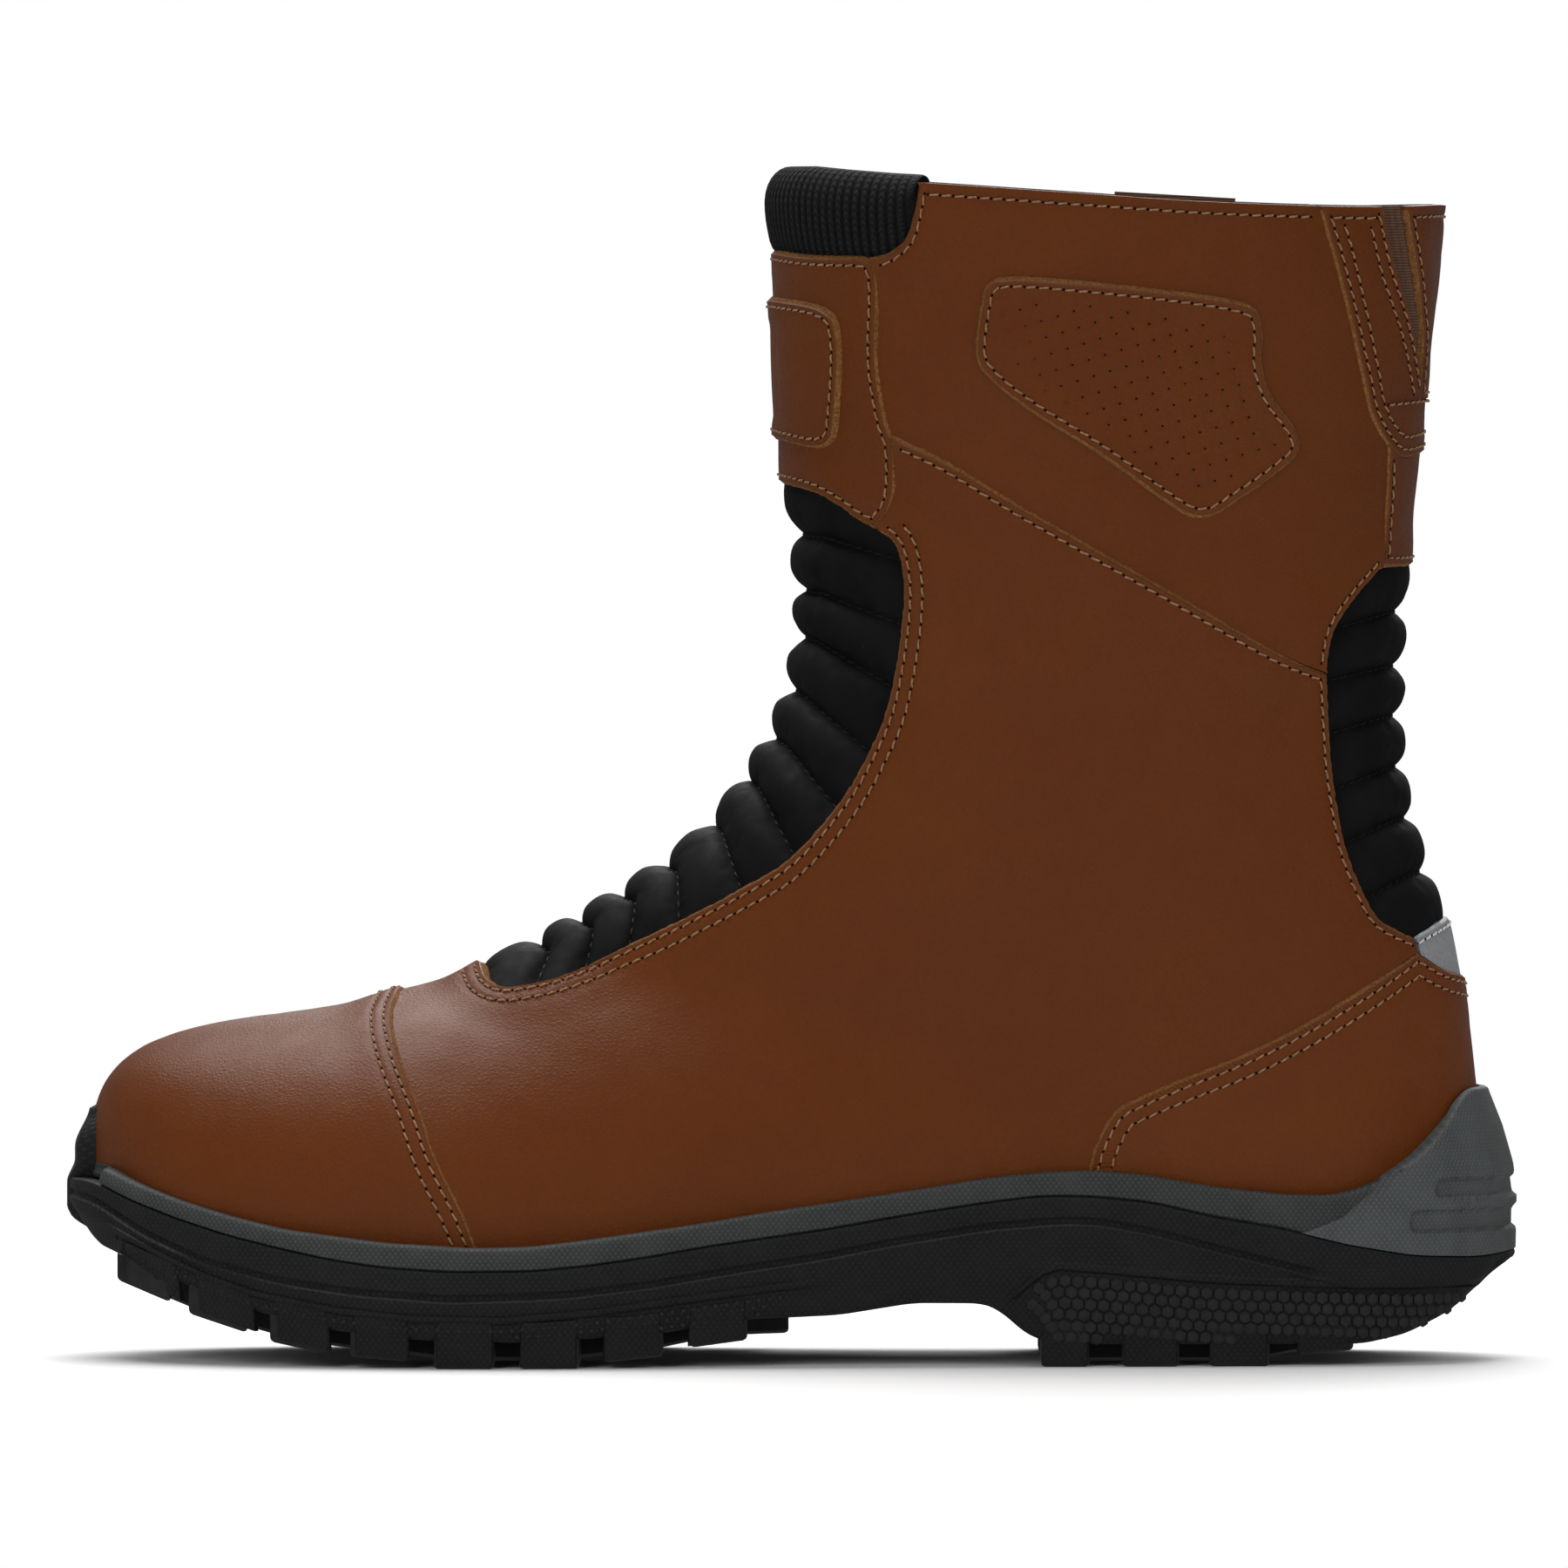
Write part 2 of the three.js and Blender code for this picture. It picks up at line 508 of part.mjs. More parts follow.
function addZipTapes() {
  const [bottom, top] = [ZIP_BOTTOM[1], ZIP_TOP[1]];
  const sides = [["front", 1], ["rear", -1]];
  // The strip across the zip from near to far, on one side of its middle
  const half = (side, near, far, low, high) => {
    return zipBand(...(side > 0 ? [near, far] : [-far, -near]), low, high);
  };
  for (const [end, side] of sides) {
    const tape = half(side, GAP / 2, TAPE_HALF, bottom - 6, top + 2);
    addPart(`zip_tape_${end}`, layer(TAPE).intersect(tape), "zip");
    addPart(`zip_coil_${end}`, layer(COIL).intersect(half(side, GAP / 2, COIL_HALF, bottom, top)), "zip");
    const stop = half(side, GAP, 3, top + 0.4, top + 2.8);
    addPart(`zip_top_stop_${end}`, layer(STOP).intersect(stop), "metal", 0.4, 1);
  }
  const bottomStop = zipBand(-3.4, 3.4, bottom - 3.6, bottom - GAP);
  addPart("zip_bottom_stop", layer(STOP).intersect(bottomStop), "metal", 0.4, 1);
  const gusset = layer(GUSSET).intersect(zipBand(-TAPE_HALF, TAPE_HALF, bottom - 7, 270));
  const rim = TOP_EDGE.map(([x, z]) => [x, z + 0.6]);
  addPart("zip_gusset", gusset.subtract(prism([...rim, [160, 290], [27.2, 290]])), "elastic");
}

// The frame that the slider moves in: X points to the heel, Y out of the boot and Z up along the zip
function zipFrame(z) {
  const low = new THREE.Vector3(ZIP_BOTTOM[0], ZIP_FACE[0], ZIP_BOTTOM[1]);
  const high = new THREE.Vector3(ZIP_TOP[0], ZIP_FACE[1], ZIP_TOP[1]);
  const up = high.clone().sub(low).normalize();
  const out = new THREE.Vector3(0, 1, 0).addScaledVector(up, -up.y).normalize();
  const heelward = new THREE.Vector3().crossVectors(out, up);
  const place = low.lerp(high, (z - ZIP_BOTTOM[1]) / (ZIP_TOP[1] - ZIP_BOTTOM[1]));
  return new THREE.Matrix4().makeBasis(heelward, out, up).setPosition(place);
}

// The slider's plate runs over the coils, and its bridge holds the bar of the pull
function slider() {
  const shape = [[-4.4, 6.5], [4.4, 6.5], [4.4, 2], [2.8, -6.5], [-2.8, -6.5], [-4.4, 2]];
  const plate = prism(shape, 0.4, SLIDER_FACE);
  const bridge = block([-1.1, 1.1], [SLIDER_FACE - 0.2, PULL_AXIS + 1.6], [-3.5, 3.5]);
  return plate.add(bridge).subtract(block([-3, 3], [PULL_AXIS - 0.85, PULL_AXIS + 0.75], [-1, 1]));
}

function pull() {
  const bar = new THREE.CylinderGeometry(0.5, 0.5, 5.2, 12).rotateZ(Math.PI / 2).translate(0, PULL_AXIS, 0);
  const thick = [PULL_AXIS - 0.5, PULL_AXIS + 0.5];
  const arms = block([1.6, 3], thick, [-5.5, 0.6]).add(block([-3, -1.6], thick, [-5.5, 0.6]));
  const shape = [[-3, -4.6], [3, -4.6], [4, -8], [4, -20], [2.6, -23], [-2.6, -23], [-4, -20], [-4, -8]];
  const tab = prism(shape, ...thick);
  return solidOf(bar).add(arms).add(tab);
}

function addSlider() {
  const carriage = new THREE.Group();
  carriage.applyMatrix4(zipFrame(SLIDER_REST));
  boot.add(carriage);
  carriage.add(addPart("zip_slider", slider(), "metal", 0.4, 1));
  carriage.add(addPart("zip_pull", pull(), "metal", 0.4, 1));
}

addZipTapes();
addSlider();
addPanels();
addOverlays();
addGores();
addCollar();
addStiffeners();
addLinings();
addFootbed();
addSole();

export default boot;
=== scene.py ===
"""A left leather riding boot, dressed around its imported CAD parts.

Shapes are worked out in millimetres in the boot's own frame (toe at -X, heel at +X, outer side at -Y,
Z up) and become metres when a mesh is made.
"""
import math

import bpy
import numpy as np
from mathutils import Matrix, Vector
from mathutils.bvhtree import BVHTree
from mathutils.geometry import delaunay_2d_cdt


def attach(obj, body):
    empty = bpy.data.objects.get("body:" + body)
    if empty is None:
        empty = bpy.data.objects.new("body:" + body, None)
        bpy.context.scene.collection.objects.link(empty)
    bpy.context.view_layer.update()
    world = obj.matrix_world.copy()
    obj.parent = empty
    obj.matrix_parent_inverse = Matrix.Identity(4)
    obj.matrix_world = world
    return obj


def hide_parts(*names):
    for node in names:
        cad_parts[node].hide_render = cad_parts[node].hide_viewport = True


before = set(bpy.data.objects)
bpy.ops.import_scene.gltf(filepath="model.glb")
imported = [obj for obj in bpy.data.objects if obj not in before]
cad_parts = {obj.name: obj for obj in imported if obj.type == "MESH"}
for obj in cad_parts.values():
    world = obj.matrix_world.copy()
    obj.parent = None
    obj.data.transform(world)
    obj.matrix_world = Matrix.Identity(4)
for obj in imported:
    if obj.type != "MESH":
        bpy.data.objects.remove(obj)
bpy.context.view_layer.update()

MM = 0.001
OUTER, MEDIAL = -1, 1  # the two sides of the boot, by the sign of Y

# ---------------------------------------------------------------- the form that the upper is stretched over

# Rings from the top of the shaft to the tip of the toe. Each row: front x, front z, back x, back z,
# half width, share of the depth where it is widest, middle y, squareness of its rear half
STATIONS = np.array([
    [-3, 262, 141, 262, 51.5, .48, 0, .94], [-4, 232, 138.6, 232, 50.5, .48, 0, .94],
    [-3.4, 202, 135.5, 205, 48.5, .48, 0, .94], [-0.6, 175, 132.6, 176, 46.8, .48, 0, .94],
    [-0.2, 154, 131.2, 148, 45.4, .48, 0, .92], [-4.6, 137, 131.8, 126, 44, .48, 0, .92],
    [-15, 120, 135.5, 109, 43.2, .49, 0, .9], [-27, 108.4, 140.5, 93, 42.4, .5, 0, .9],
    [-38, 101, 145, 72, 41.8, .52, 0, .88], [-47, 95.6, 148, 50, 41.5, .53, 0, .86],
    [-54.5, 91.4, 147, 24, 41, .54, -.4, .8], [-61, 88, 112, 13, 41.5, .56, -.8, .7],
    [-68, 84.4, 66, 12, 42.4, .59, -1, .65], [-76, 81, 18, 8, 44, .62, -1, .62],
    [-86, 78.4, -30, 2, 47, .64, -1, .6], [-98, 75.6, -70, 0, 49.8, .64, .6, .6],
    [-112, 73.4, -104, 4, 46.3, .64, 3, .62], [-128, 70.6, -129, 12, 38, .62, 6, .68],
    [-141, 65.4, -142, 22, 26, .6, 7.5, .75], [-148, 57.5, -148.6, 33, 13, .55, 8, .85],
    [-150.2, 48, -150.2, 45, 2, .5, 8, 1],
])
TOP_SQUARENESS = 0.95
RINGS, SPOTS = 481, 512  # size of the table of the form
ANGLES = 1441  # steps round a ring before it is resampled
LINE_STEP = 1.0  # mm between the points of a traced line


def curve_through(rows, at):
    """A smooth curve through the rows, one parameter step apart, at the parameters in at."""
    rows = np.asarray(rows, float)
    n = len(rows)
    system = np.diag(np.full(n, 4.0)) + np.diag(np.ones(n - 1), 1) + np.diag(np.ones(n - 1), -1)
    system[0, 0] = system[-1, -1] = 2
    ahead = rows[np.minimum(np.arange(n) + 1, n - 1)]
    behind = rows[np.maximum(np.arange(n) - 1, 0)]
    slope = np.linalg.solve(system, 3 * (ahead - behind))
    i = np.clip(np.floor(at).astype(int), 0, n - 2)
    t = (at - i)[:, None]
    a, b = rows[i], rows[i + 1]
    return ((2 * t**3 - 3 * t**2 + 1) * a + (t**3 - 2 * t**2 + t) * slope[i]
            + (3 * t**2 - 2 * t**3) * b + (t**3 - t**2) * slope[i + 1])


def smooth_line(points):
    """A smooth line through given points."""
    points = np.asarray(points, float)
    knots = np.concatenate([[0], np.cumsum(np.linalg.norm(np.diff(points, axis=0), axis=1) ** 0.5)])
    tangent = np.gradient(points, knots, axis=0)
    out = []
    for i in range(len(points) - 1):
        span = knots[i + 1] - knots[i]
        count = max(int(span**2 / LINE_STEP), 1)
        t = (np.arange(count) / count)[:, None]
        a, b = points[i], points[i + 1]
        out.append((2 * t**3 - 3 * t**2 + 1) * a + (t**3 - 2 * t**2 + t) * span * tangent[i]
                   + (3 * t**2 - 2 * t**3) * b + (t**3 - t**2) * span * tangent[i + 1])
    return np.vstack([*out, points[-1:]])


def ring_table():
    """Points of the form: one row per ring, evenly spaced round it. Column 0 is the front line, the columns
    up to half way go round the medial side to the back line, and the rest come back by the outer side."""
    rings = curve_through(STATIONS, np.linspace(0, len(STATIONS) - 1, RINGS))
    angle = np.linspace(0, 2 * np.pi, ANGLES)
    c, s = np.cos(angle), np.sin(angle)
    table = np.zeros((RINGS, SPOTS, 3))
    for i, (fx, fz, bx, bz, half, belly, shift, square) in enumerate(rings):
        power = np.where(c > 0, TOP_SQUARENESS, square)
        reach = np.abs(c) ** power
        t = np.where(c > 0, belly * (1 - reach), belly + (1 - belly) * reach)
        y = shift + np.sign(s) * max(half, 0.5) * np.abs(s) ** power
        ring = np.stack([fx + (bx - fx) * t, y, fz + (bz - fz) * t], axis=1)
        run = np.concatenate([[0], np.cumsum(np.linalg.norm(np.diff(ring, axis=0), axis=1))])
        middle = run[ANGLES // 2]
        even = np.linspace(0, 1, SPOTS // 2, endpoint=False)
        stops = np.concatenate([even * middle, middle + even * (run[-1] - middle)])
        table[i] = np.stack([np.interp(stops, run, ring[:, k]) for k in range(3)], axis=1)
    return table


def soften(field, passes):
    """Averages a periodic table with its neighbours along both axes."""
    for _ in range(passes):
        padded = np.concatenate([field[:1], field, field[-1:]])
        field = (padded[:-2] + 2 * padded[1:-1] + padded[2:]) / 4
        field = (np.roll(field, 1, 1) + 2 * field + np.roll(field, -1, 1)) / 4
    return field


FORM = ring_table()
ALONG = np.gradient(FORM, axis=0) * (RINGS - 1)  # change per unit of u
ROUND = (np.roll(FORM, -1, 1) - np.roll(FORM, 1, 1)) / 2 * SPOTS / 2  # change per unit of w
OUTWARD = np.cross(ROUND, ALONG)
OUTWARD /= np.maximum(np.linalg.norm(OUTWARD, axis=2, keepdims=True), 1e-9)
if (OUTWARD[40, SPOTS // 4] @ [0, 1, 0]) < 0:
    OUTWARD = -OUTWARD
OUTWARD = soften(OUTWARD, 6)
OUTWARD /= np.linalg.norm(OUTWARD, axis=2, keepdims=True)
GIRTH = np.linalg.norm(ROUND, axis=2).mean(1) * 2  # length of each ring
RING_GAP = np.linalg.norm(ALONG, axis=2).max(1)
PATTERN_LENGTH = np.concatenate([[0], np.cumsum((RING_GAP[1:] + RING_GAP[:-1]) / 2 / (RINGS - 1))])


def look_up(table, uw):
    """A value of a table of the form at places (u, w): u runs 0 to 1 from rim to toe, and w is 0 at the
    front line and 1 at the back line, with the medial side between them."""
    u = np.clip(uw[:, 0], 0, 1) * (RINGS - 1)
    w = np.mod(uw[:, 1], 2) / 2 * SPOTS
    i = np.minimum(u.astype(int), RINGS - 2)
    j = np.floor(w).astype(int)
    p, q = (u - i)[:, None], (w - j)[:, None]
    j, k = j % SPOTS, (j + 1) % SPOTS
    top = table[i, j] * (1 - q) + table[i, k] * q
    low = table[i + 1, j] * (1 - q) + table[i + 1, k] * q
    return top * (1 - p) + low * p


def on_form(uw, lift=0.0):
    """Points at a height above the form."""
    lift = np.broadcast_to(np.asarray(lift, float), (len(uw),))[:, None]
    return look_up(FORM, uw) + look_up(OUTWARD, uw) * lift


def walk(uw, heading, distance):
    """Places reached by going a distance over the form in the direction of heading."""
    for _ in range(2):
        along, round_ = look_up(ALONG, uw), look_up(ROUND, uw)
        step = heading * np.broadcast_to(distance, (len(uw),))[:, None] / 2
        aa, ab, bb = (along**2).sum(1), (along * round_).sum(1), (round_**2).sum(1)
        pa, pb = (along * step).sum(1), (round_ * step).sum(1)
        det = np.maximum(aa * bb - ab**2, 1e-6)
        uw = uw + np.stack([(pa * bb - pb * ab) / det, (pb * aa - pa * ab) / det], axis=1)
    return uw


def find(points, side):
    """The places on one side of the form that are seen at side-view points (x, z)."""
    columns = np.arange(SPOTS // 2 + 1) if side > 0 else np.arange(SPOTS // 2, SPOTS + 1) % SPOTS
    half = FORM[:, columns][:, :, [0, 2]]
    flat = half.reshape(-1, 2)
    uw = []
    for p in np.asarray(points, float):
        k = int(((flat - p) ** 2).sum(1).argmin())
        i, j = divmod(k, len(columns))
        w = j * 2 / SPOTS + (0 if side > 0 else 1)
        uw.append([i / (RINGS - 1), w if side > 0 else w - 2])
    uw = np.array(uw)
    low, high = (0, 1) if side > 0 else (-1, 0)
    for _ in range(3):
        miss = np.asarray(points, float) - look_up(FORM, uw)[:, [0, 2]]
        a, b = look_up(ALONG, uw)[:, [0, 2]], look_up(ROUND, uw)[:, [0, 2]]
        det = a[:, 0] * b[:, 1] - a[:, 1] * b[:, 0]
        safe = np.abs(det) > 2000
        det = np.where(safe, det, 1)
        du = (miss[:, 0] * b[:, 1] - miss[:, 1] * b[:, 0]) / det
        dw = (a[:, 0] * miss[:, 1] - a[:, 1] * miss[:, 0]) / det
        uw = uw + np.where(safe[:, None], np.clip(np.stack([du, dw], 1), -.01, .01), 0)
        uw[:, 1] = np.clip(uw[:, 1], low, high)
    return uw


# ---------------------------------------------------------------- meshes

class Shape:
    """Points and faces of one piece, gathered in millimetres. kind is the index of a face's material."""

    def __init__(self):
        self.points, self.faces, self.kinds, self.flat, self.worn = [], [], [], [], []
        self.count = 0

    def add(self, points, faces, kind=0, flat=None, worn=0.0):
        """flat is each point's place in mm on the unrolled surface, and worn its wear from 0 to 1."""
        points = np.asarray(points, float).reshape(-1, 3)
        self.points.append(points)
        self.faces += [[i + self.count for i in face] for face in faces]
        self.kinds += [kind] * len(faces)
        self.flat.append(points[:, [0, 2]] if flat is None else np.asarray(flat, float).reshape(-1, 2))
        self.worn.append(np.broadcast_to(np.asarray(worn, float), (len(points),)))
        self.count += len(points)

    def make(self, name, materials, sharp=38):
        """The piece as an object in metres, with corners over sharp degrees kept sharp."""
        mesh = bpy.data.meshes.new(name)
        mesh.from_pydata((np.vstack(self.points) * MM).tolist(), [], self.faces)
        mesh.polygons.foreach_set("material_index", self.kinds)
        mesh.polygons.foreach_set("use_smooth", [True] * len(self.faces))
        for material in materials:
            mesh.materials.append(material)
        corners = np.zeros(len(mesh.loops), int)
        mesh.loops.foreach_get("vertex_index", corners)
        layer = mesh.uv_layers.new(name="flat_mm")
        layer.data.foreach_set("uv", np.vstack(self.flat)[corners].ravel())
        worn = mesh.attributes.new("worn", "FLOAT", "POINT")
        worn.data.foreach_set("value", np.concatenate(self.worn))
        mesh.set_sharp_from_angle(angle=math.radians(sharp))
        mesh.validate()
        piece = bpy.data.objects.new(name, mesh)
        bpy.context.scene.collection.objects.link(piece)
        return piece


def place(piece, body, slot, *nodes):
    """Puts a finished piece on its body and hides the CAD nodes that it stands for. slot is not used."""
    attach(piece, body)
    if nodes:
        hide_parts(*nodes)
    return piece


def grid_faces(rows, columns, closed=False):
    """Quads between rows of points; closed joins the last column to the first."""
    i, j = np.meshgrid(np.arange(rows - 1), np.arange(columns if closed else columns - 1), indexing="ij")
    k = (j + 1) % columns
    return np.stack([i * columns + j, i * columns + k, (i + 1) * columns + k, (i + 1) * columns + j],
                    axis=-1).reshape(-1, 4)


def ring_faces(rows, around):
    """Quads between rings of points, with the first and last ring closed off."""
    last = (rows - 1) * around
    ends = [list(range(around))[::-1], list(range(last, last + around))]
    return grid_faces(rows, around, closed=True).tolist() + ends


def skin_faces(rows, columns, closed=False):
    """Quads between rows of points and from the last row back to the first. Unless the rows are closed
    loops, both ends are closed off."""
    last = (rows - 1) * columns
    faces = grid_faces(rows, columns, closed).tolist()
    for k in range(columns if closed else columns - 1):
        ahead = (k + 1) % columns
        faces.append([last + k, last + ahead, ahead, k])
    if not closed:
        faces.append(list(range(0, last + 1, columns)))
        faces.append(list(range(columns - 1, last + columns, columns))[::-1])
    return faces


def circle(count):
    """Evenly spaced angles round a circle."""
    return np.arange(count) / count * 2 * np.pi


def ease(t):
    """A smooth step from 0 to 1."""
    t = np.clip(t, 0, 1)
    return t * t * (3 - 2 * t)


def bell(distance, width):
    """1 at no distance, and fading out smoothly over a width."""
    return np.exp(-(distance / width) ** 2)


def ripple(points, scale, seed=0):
    """Smooth, repeatable unevenness from -1 to 1 over points in mm; scale is the size of its features."""
    p = np.asarray(points, float) / scale
    total = np.zeros(len(p))
    for k in range(5):
        turn = seed * 1.7 + k * 2.399
        heading = np.array([math.cos(turn), math.sin(turn * 1.3), math.sin(turn)])
        total += np.sin(p @ heading * (1 + 0.37 * k) * 2.2 + turn * 3.1 + np.sin(p @ heading[::-1] * 1.7 + k))
    return total / 5


def nearest(points, targets):
    """Distance from each point to the nearest target, and which one it is."""
    best, index = np.full(len(points), 1e9), np.zeros(len(points), int)
    if len(targets) == 0:
        return best, index
    for start in range(0, len(points), 2000):
        part = points[start:start + 2000]
        squared = ((part**2).sum(1)[:, None] + (targets**2).sum(1)[None] - 2 * part @ targets.T)
        index[start:start + 2000] = squared.argmin(1)
        best[start:start + 2000] = np.sqrt(np.maximum(squared.min(1), 0))
    return best, index


def even_run(uw, step):
    """A run of places resampled at an even distance over the form."""
    points = on_form(uw)
    gap = np.linalg.norm(np.diff(points, axis=0), axis=1)
    keep = np.concatenate([[True], gap > 1e-3])
    uw, run = uw[keep], np.concatenate([[0], np.cumsum(gap[gap > 1e-3])])
    count = max(int(round(run[-1] / step)), 1)
    stops = np.linspace(0, run[-1], count + 1)
    return np.stack([np.interp(stops, run, uw[:, k]) for k in range(2)], axis=1)


def trace(points, side, round_back=False):
    """A side-view line laid on one side of the form. round_back counts w on past 1 round the back line."""
    uw = find(smooth_line(points), side)
    if round_back and side == OUTER:
        uw = uw + [0, 2]
    return even_run(uw, LINE_STEP)


def to_pattern(uw):
    """Places on the form as points in mm on its unrolled surface."""
    u = np.clip(uw[:, 0], 0, 1) * (RINGS - 1)
    return np.stack([np.interp(u, np.arange(RINGS), PATTERN_LENGTH),
                     uw[:, 1] * np.interp(u, np.arange(RINGS), GIRTH) / 2], axis=1)


def from_pattern(ab):
    """The places of points on the unrolled surface."""
    u = np.interp(ab[:, 0], PATTERN_LENGTH, np.arange(RINGS))
    return np.stack([u / (RINGS - 1), ab[:, 1] / np.interp(u, np.arange(RINGS), GIRTH) * 2], axis=1)


def inside(points, loop):
    """Whether points lie inside a closed outline, both on the flat pattern."""
    hit = np.zeros(len(points), bool)
    ahead = np.roll(loop, -1, axis=0)
    for (x0, y0), (x1, y1) in zip(loop, ahead):
        if y0 != y1:
            crosses = (y0 > points[:, 1]) != (y1 > points[:, 1])
            hit ^= crosses & (points[:, 0] < (x1 - x0) * (points[:, 1] - y0) / (y1 - y0) + x0)
    return hit


def headings(uw, closed):
    """Unit directions over the form, square to a line, and the line's tangents."""
    points = on_form(uw)
    if closed:
        tangent = np.roll(points, -1, 0) - np.roll(points, 1, 0)
    else:
        tangent = np.gradient(points, axis=0)
    tangent /= np.maximum(np.linalg.norm(tangent, axis=1, keepdims=True), 1e-9)
    across = np.cross(look_up(OUTWARD, uw), tangent)
    return across / np.maximum(np.linalg.norm(across, axis=1, keepdims=True), 1e-9), tangent


# ---------------------------------------------------------------- sewn leather

LEATHER_THICKNESS = 1.8
STITCH = 2.8  # from one stitch to the next
THREAD = 0.23  # radius of the sewing thread
# The last kind is for flat dark discs, painted as the shade inside needle holes and perforations.
FACE, RAW, THREAD_KIND, SHADE_DISC = 0, 1, 2, 3  # order of the materials on a sewn panel
ROWS = {1: (1.9,), 2: (1.9, 4.6)}  # how far rows of stitches lie from a cut edge
BESIDE_ROW, BESIDE_SECOND_ROW = (.8, 1.35, 1.9, 2.5), (3.4, 4, 4.6, 5.2)  # where a panel is cut finely
FRAY = 0.24  # unevenness of a cut edge


def stitches(shape, uw, lift, pitch=STITCH, radius=THREAD, kinds=(THREAD_KIND, SHADE_DISC)):
    """Lays a row of stitches along a line over the form, with flat dark discs between them as painted shade
    for the needle holes. lift gives the height of the surface at places."""
    line = even_run(uw, 0.5)
    points = on_form(line, lift(line))
    run = np.concatenate([[0], np.cumsum(np.linalg.norm(np.diff(points, axis=0), axis=1))])
    count = int(run[-1] / pitch)
    if count < 1:
        return
    pitch = run[-1] / count
    normal, (across, tangent) = look_up(OUTWARD, line), headings(line, False)

    def at(s):
        s = np.clip(s, 0, run[-1])
        return [np.stack([np.interp(s, run, field[:, k]) for k in range(3)], axis=-1)
                for field in (points, normal, across, tangent)]

    share = np.array([-1, -.72, -.3, .3, .72, 1])
    rise = np.array([-.3, .1, .24, .24, .1, -.3])
    size = np.array([.5, .95, 1, 1, .95, .5])
    centre = (np.arange(count) + .5) * pitch
    s = centre[:, None] + share[None] * pitch * .41
    spot, up, side, _ = at(s)
    core = spot + up * rise[None, :, None] + side * (share * .16)[None, :, None]
    turn = circle(6)
    ring = (side[:, :, None] * np.cos(turn)[:, None] + up[:, :, None] * np.sin(turn)[:, None] * .85)
    tube = core[:, :, None] + ring * (size * radius)[None, :, None, None]
    for stitch in tube:
        shape.add(stitch, ring_faces(6, 6), kinds[0])
    spot, up, side, ahead = at(np.arange(count + 1) * pitch)
    turn = circle(8)
    # The needle holes are flat dark discs: painted shade.
    rim = (ahead[:, None] * np.cos(turn)[:, None] * .36 + side[:, None] * np.sin(turn)[:, None] * .3)
    for hole in spot[:, None] + rim + up[:, None] * .06:
        shape.add(hole, [list(range(8))], kinds[1])


def edge(uw, rows=1):
    """A cut edge that lies on top of its neighbour, with rows of stitches beside it."""
    return {"uw": uw, "free": 1.0, "rows": ROWS.get(rows, ()), "step": 1.0}


def hem(uw):
    """A turned edge at the rim of the boot, with one row of stitches."""
    return {"uw": uw, "free": 0.0, "rows": (2.4,), "step": 1.2}


def seam(uw):
    """An edge that ends under its neighbour."""
    return {"uw": uw, "free": 0.0, "rows": (), "step": 1.4}


def beside(line, loop, distance):
    """A line moved over the form by a distance, into a closed outline."""
    across, _ = headings(line, False)
    path = walk(line, across, distance)
    if inside(to_pattern(path), to_pattern(loop)).mean() < .5:
        path = walk(line, -across, distance)
    return path


def panel_outline(runs):
    """A panel's outline: its places, whether its edge is free at each, and the heading into the panel."""
    loop = np.vstack([run["uw"][:-1] for run in runs])
    free = np.concatenate([np.full(len(run["uw"]) - 1, run["free"]) for run in runs])
    free = np.minimum(free, np.roll(free, 1))
    points = on_form(loop)
    apart = np.linalg.norm(points - np.roll(points, 1, 0), axis=1) >= .25
    loop, free = loop[apart], free[apart]
    inward, _ = headings(loop, True)
    if inside(to_pattern(walk(loop, inward, 0.6)), to_pattern(loop)).mean() < .5:
        inward = -inward
    return loop, free, inward


def stitch_rows(runs, loop, points):
    """Each row of stitches on a panel: how far it lies from its edge, and its line."""
    rows = []
    for run in runs:
        for row in run["rows"]:
            path = beside(run["uw"], loop, row)
            path = path[nearest(on_form(path), points)[0] > row * .86]
            if len(path) > 3:
                rows.append((row, path))
    return rows


def dent_lines(runs, loop, points):
    """Lines of places beside the sewn edges, close enough together to show the dents of the stitches."""
    lines = []
    for run in runs:
        if run["rows"]:
            double = len(run["rows"]) > 1
            for offset in BESIDE_ROW + (BESIDE_SECOND_ROW if double else ()):
                path = beside(run["uw"], loop, offset)
                lines.append(path[nearest(on_form(path), points)[0] > offset * .8])
    return [line for line in lines if len(line)]


def fill(flat, points, lines, spacing):
    """Triangles over an unrolled outline: a staggered lattice, kept clear of the edge and of the lines,
    whose places are used as they are. Returns the places and the triangles."""
    low, high = flat.min(0), flat.max(0)
    a = np.arange(low[0], high[0], spacing)
    b = np.arange(low[1], high[1], spacing)
    lattice = np.stack(np.meshgrid(a, b, indexing="ij"), axis=-1)
    lattice[::2, :, 1] += spacing / 2
    lattice = lattice.reshape(-1, 2)
    lattice = lattice[inside(lattice, flat)]
    for taken in (points, np.vstack([np.zeros((0, 3)), *[on_form(line) for line in lines]])):
        lattice = lattice[nearest(on_form(from_pattern(lattice)), taken)[0] > 1.1]
    inner = np.vstack([lattice, *[to_pattern(line) for line in lines]])
    inner = inner[inside(inner, flat)]
    n = len(flat)
    ring = [(k, (k + 1) % n) for k in range(n)]
    corners = [Vector(v) for v in np.vstack([flat, inner])]
    out, _, faces, *_ = delaunay_2d_cdt(corners, ring, [], 0, 1e-4, False)
    spread = np.array([v[:] for v in out])
    faces = np.array([f[:] for f in faces])
    faces = faces[inside(spread[faces].mean(axis=1), flat)]
    used, faces = np.unique(faces, return_inverse=True)
    return from_pattern(spread[used]), faces.reshape(-1, 3)


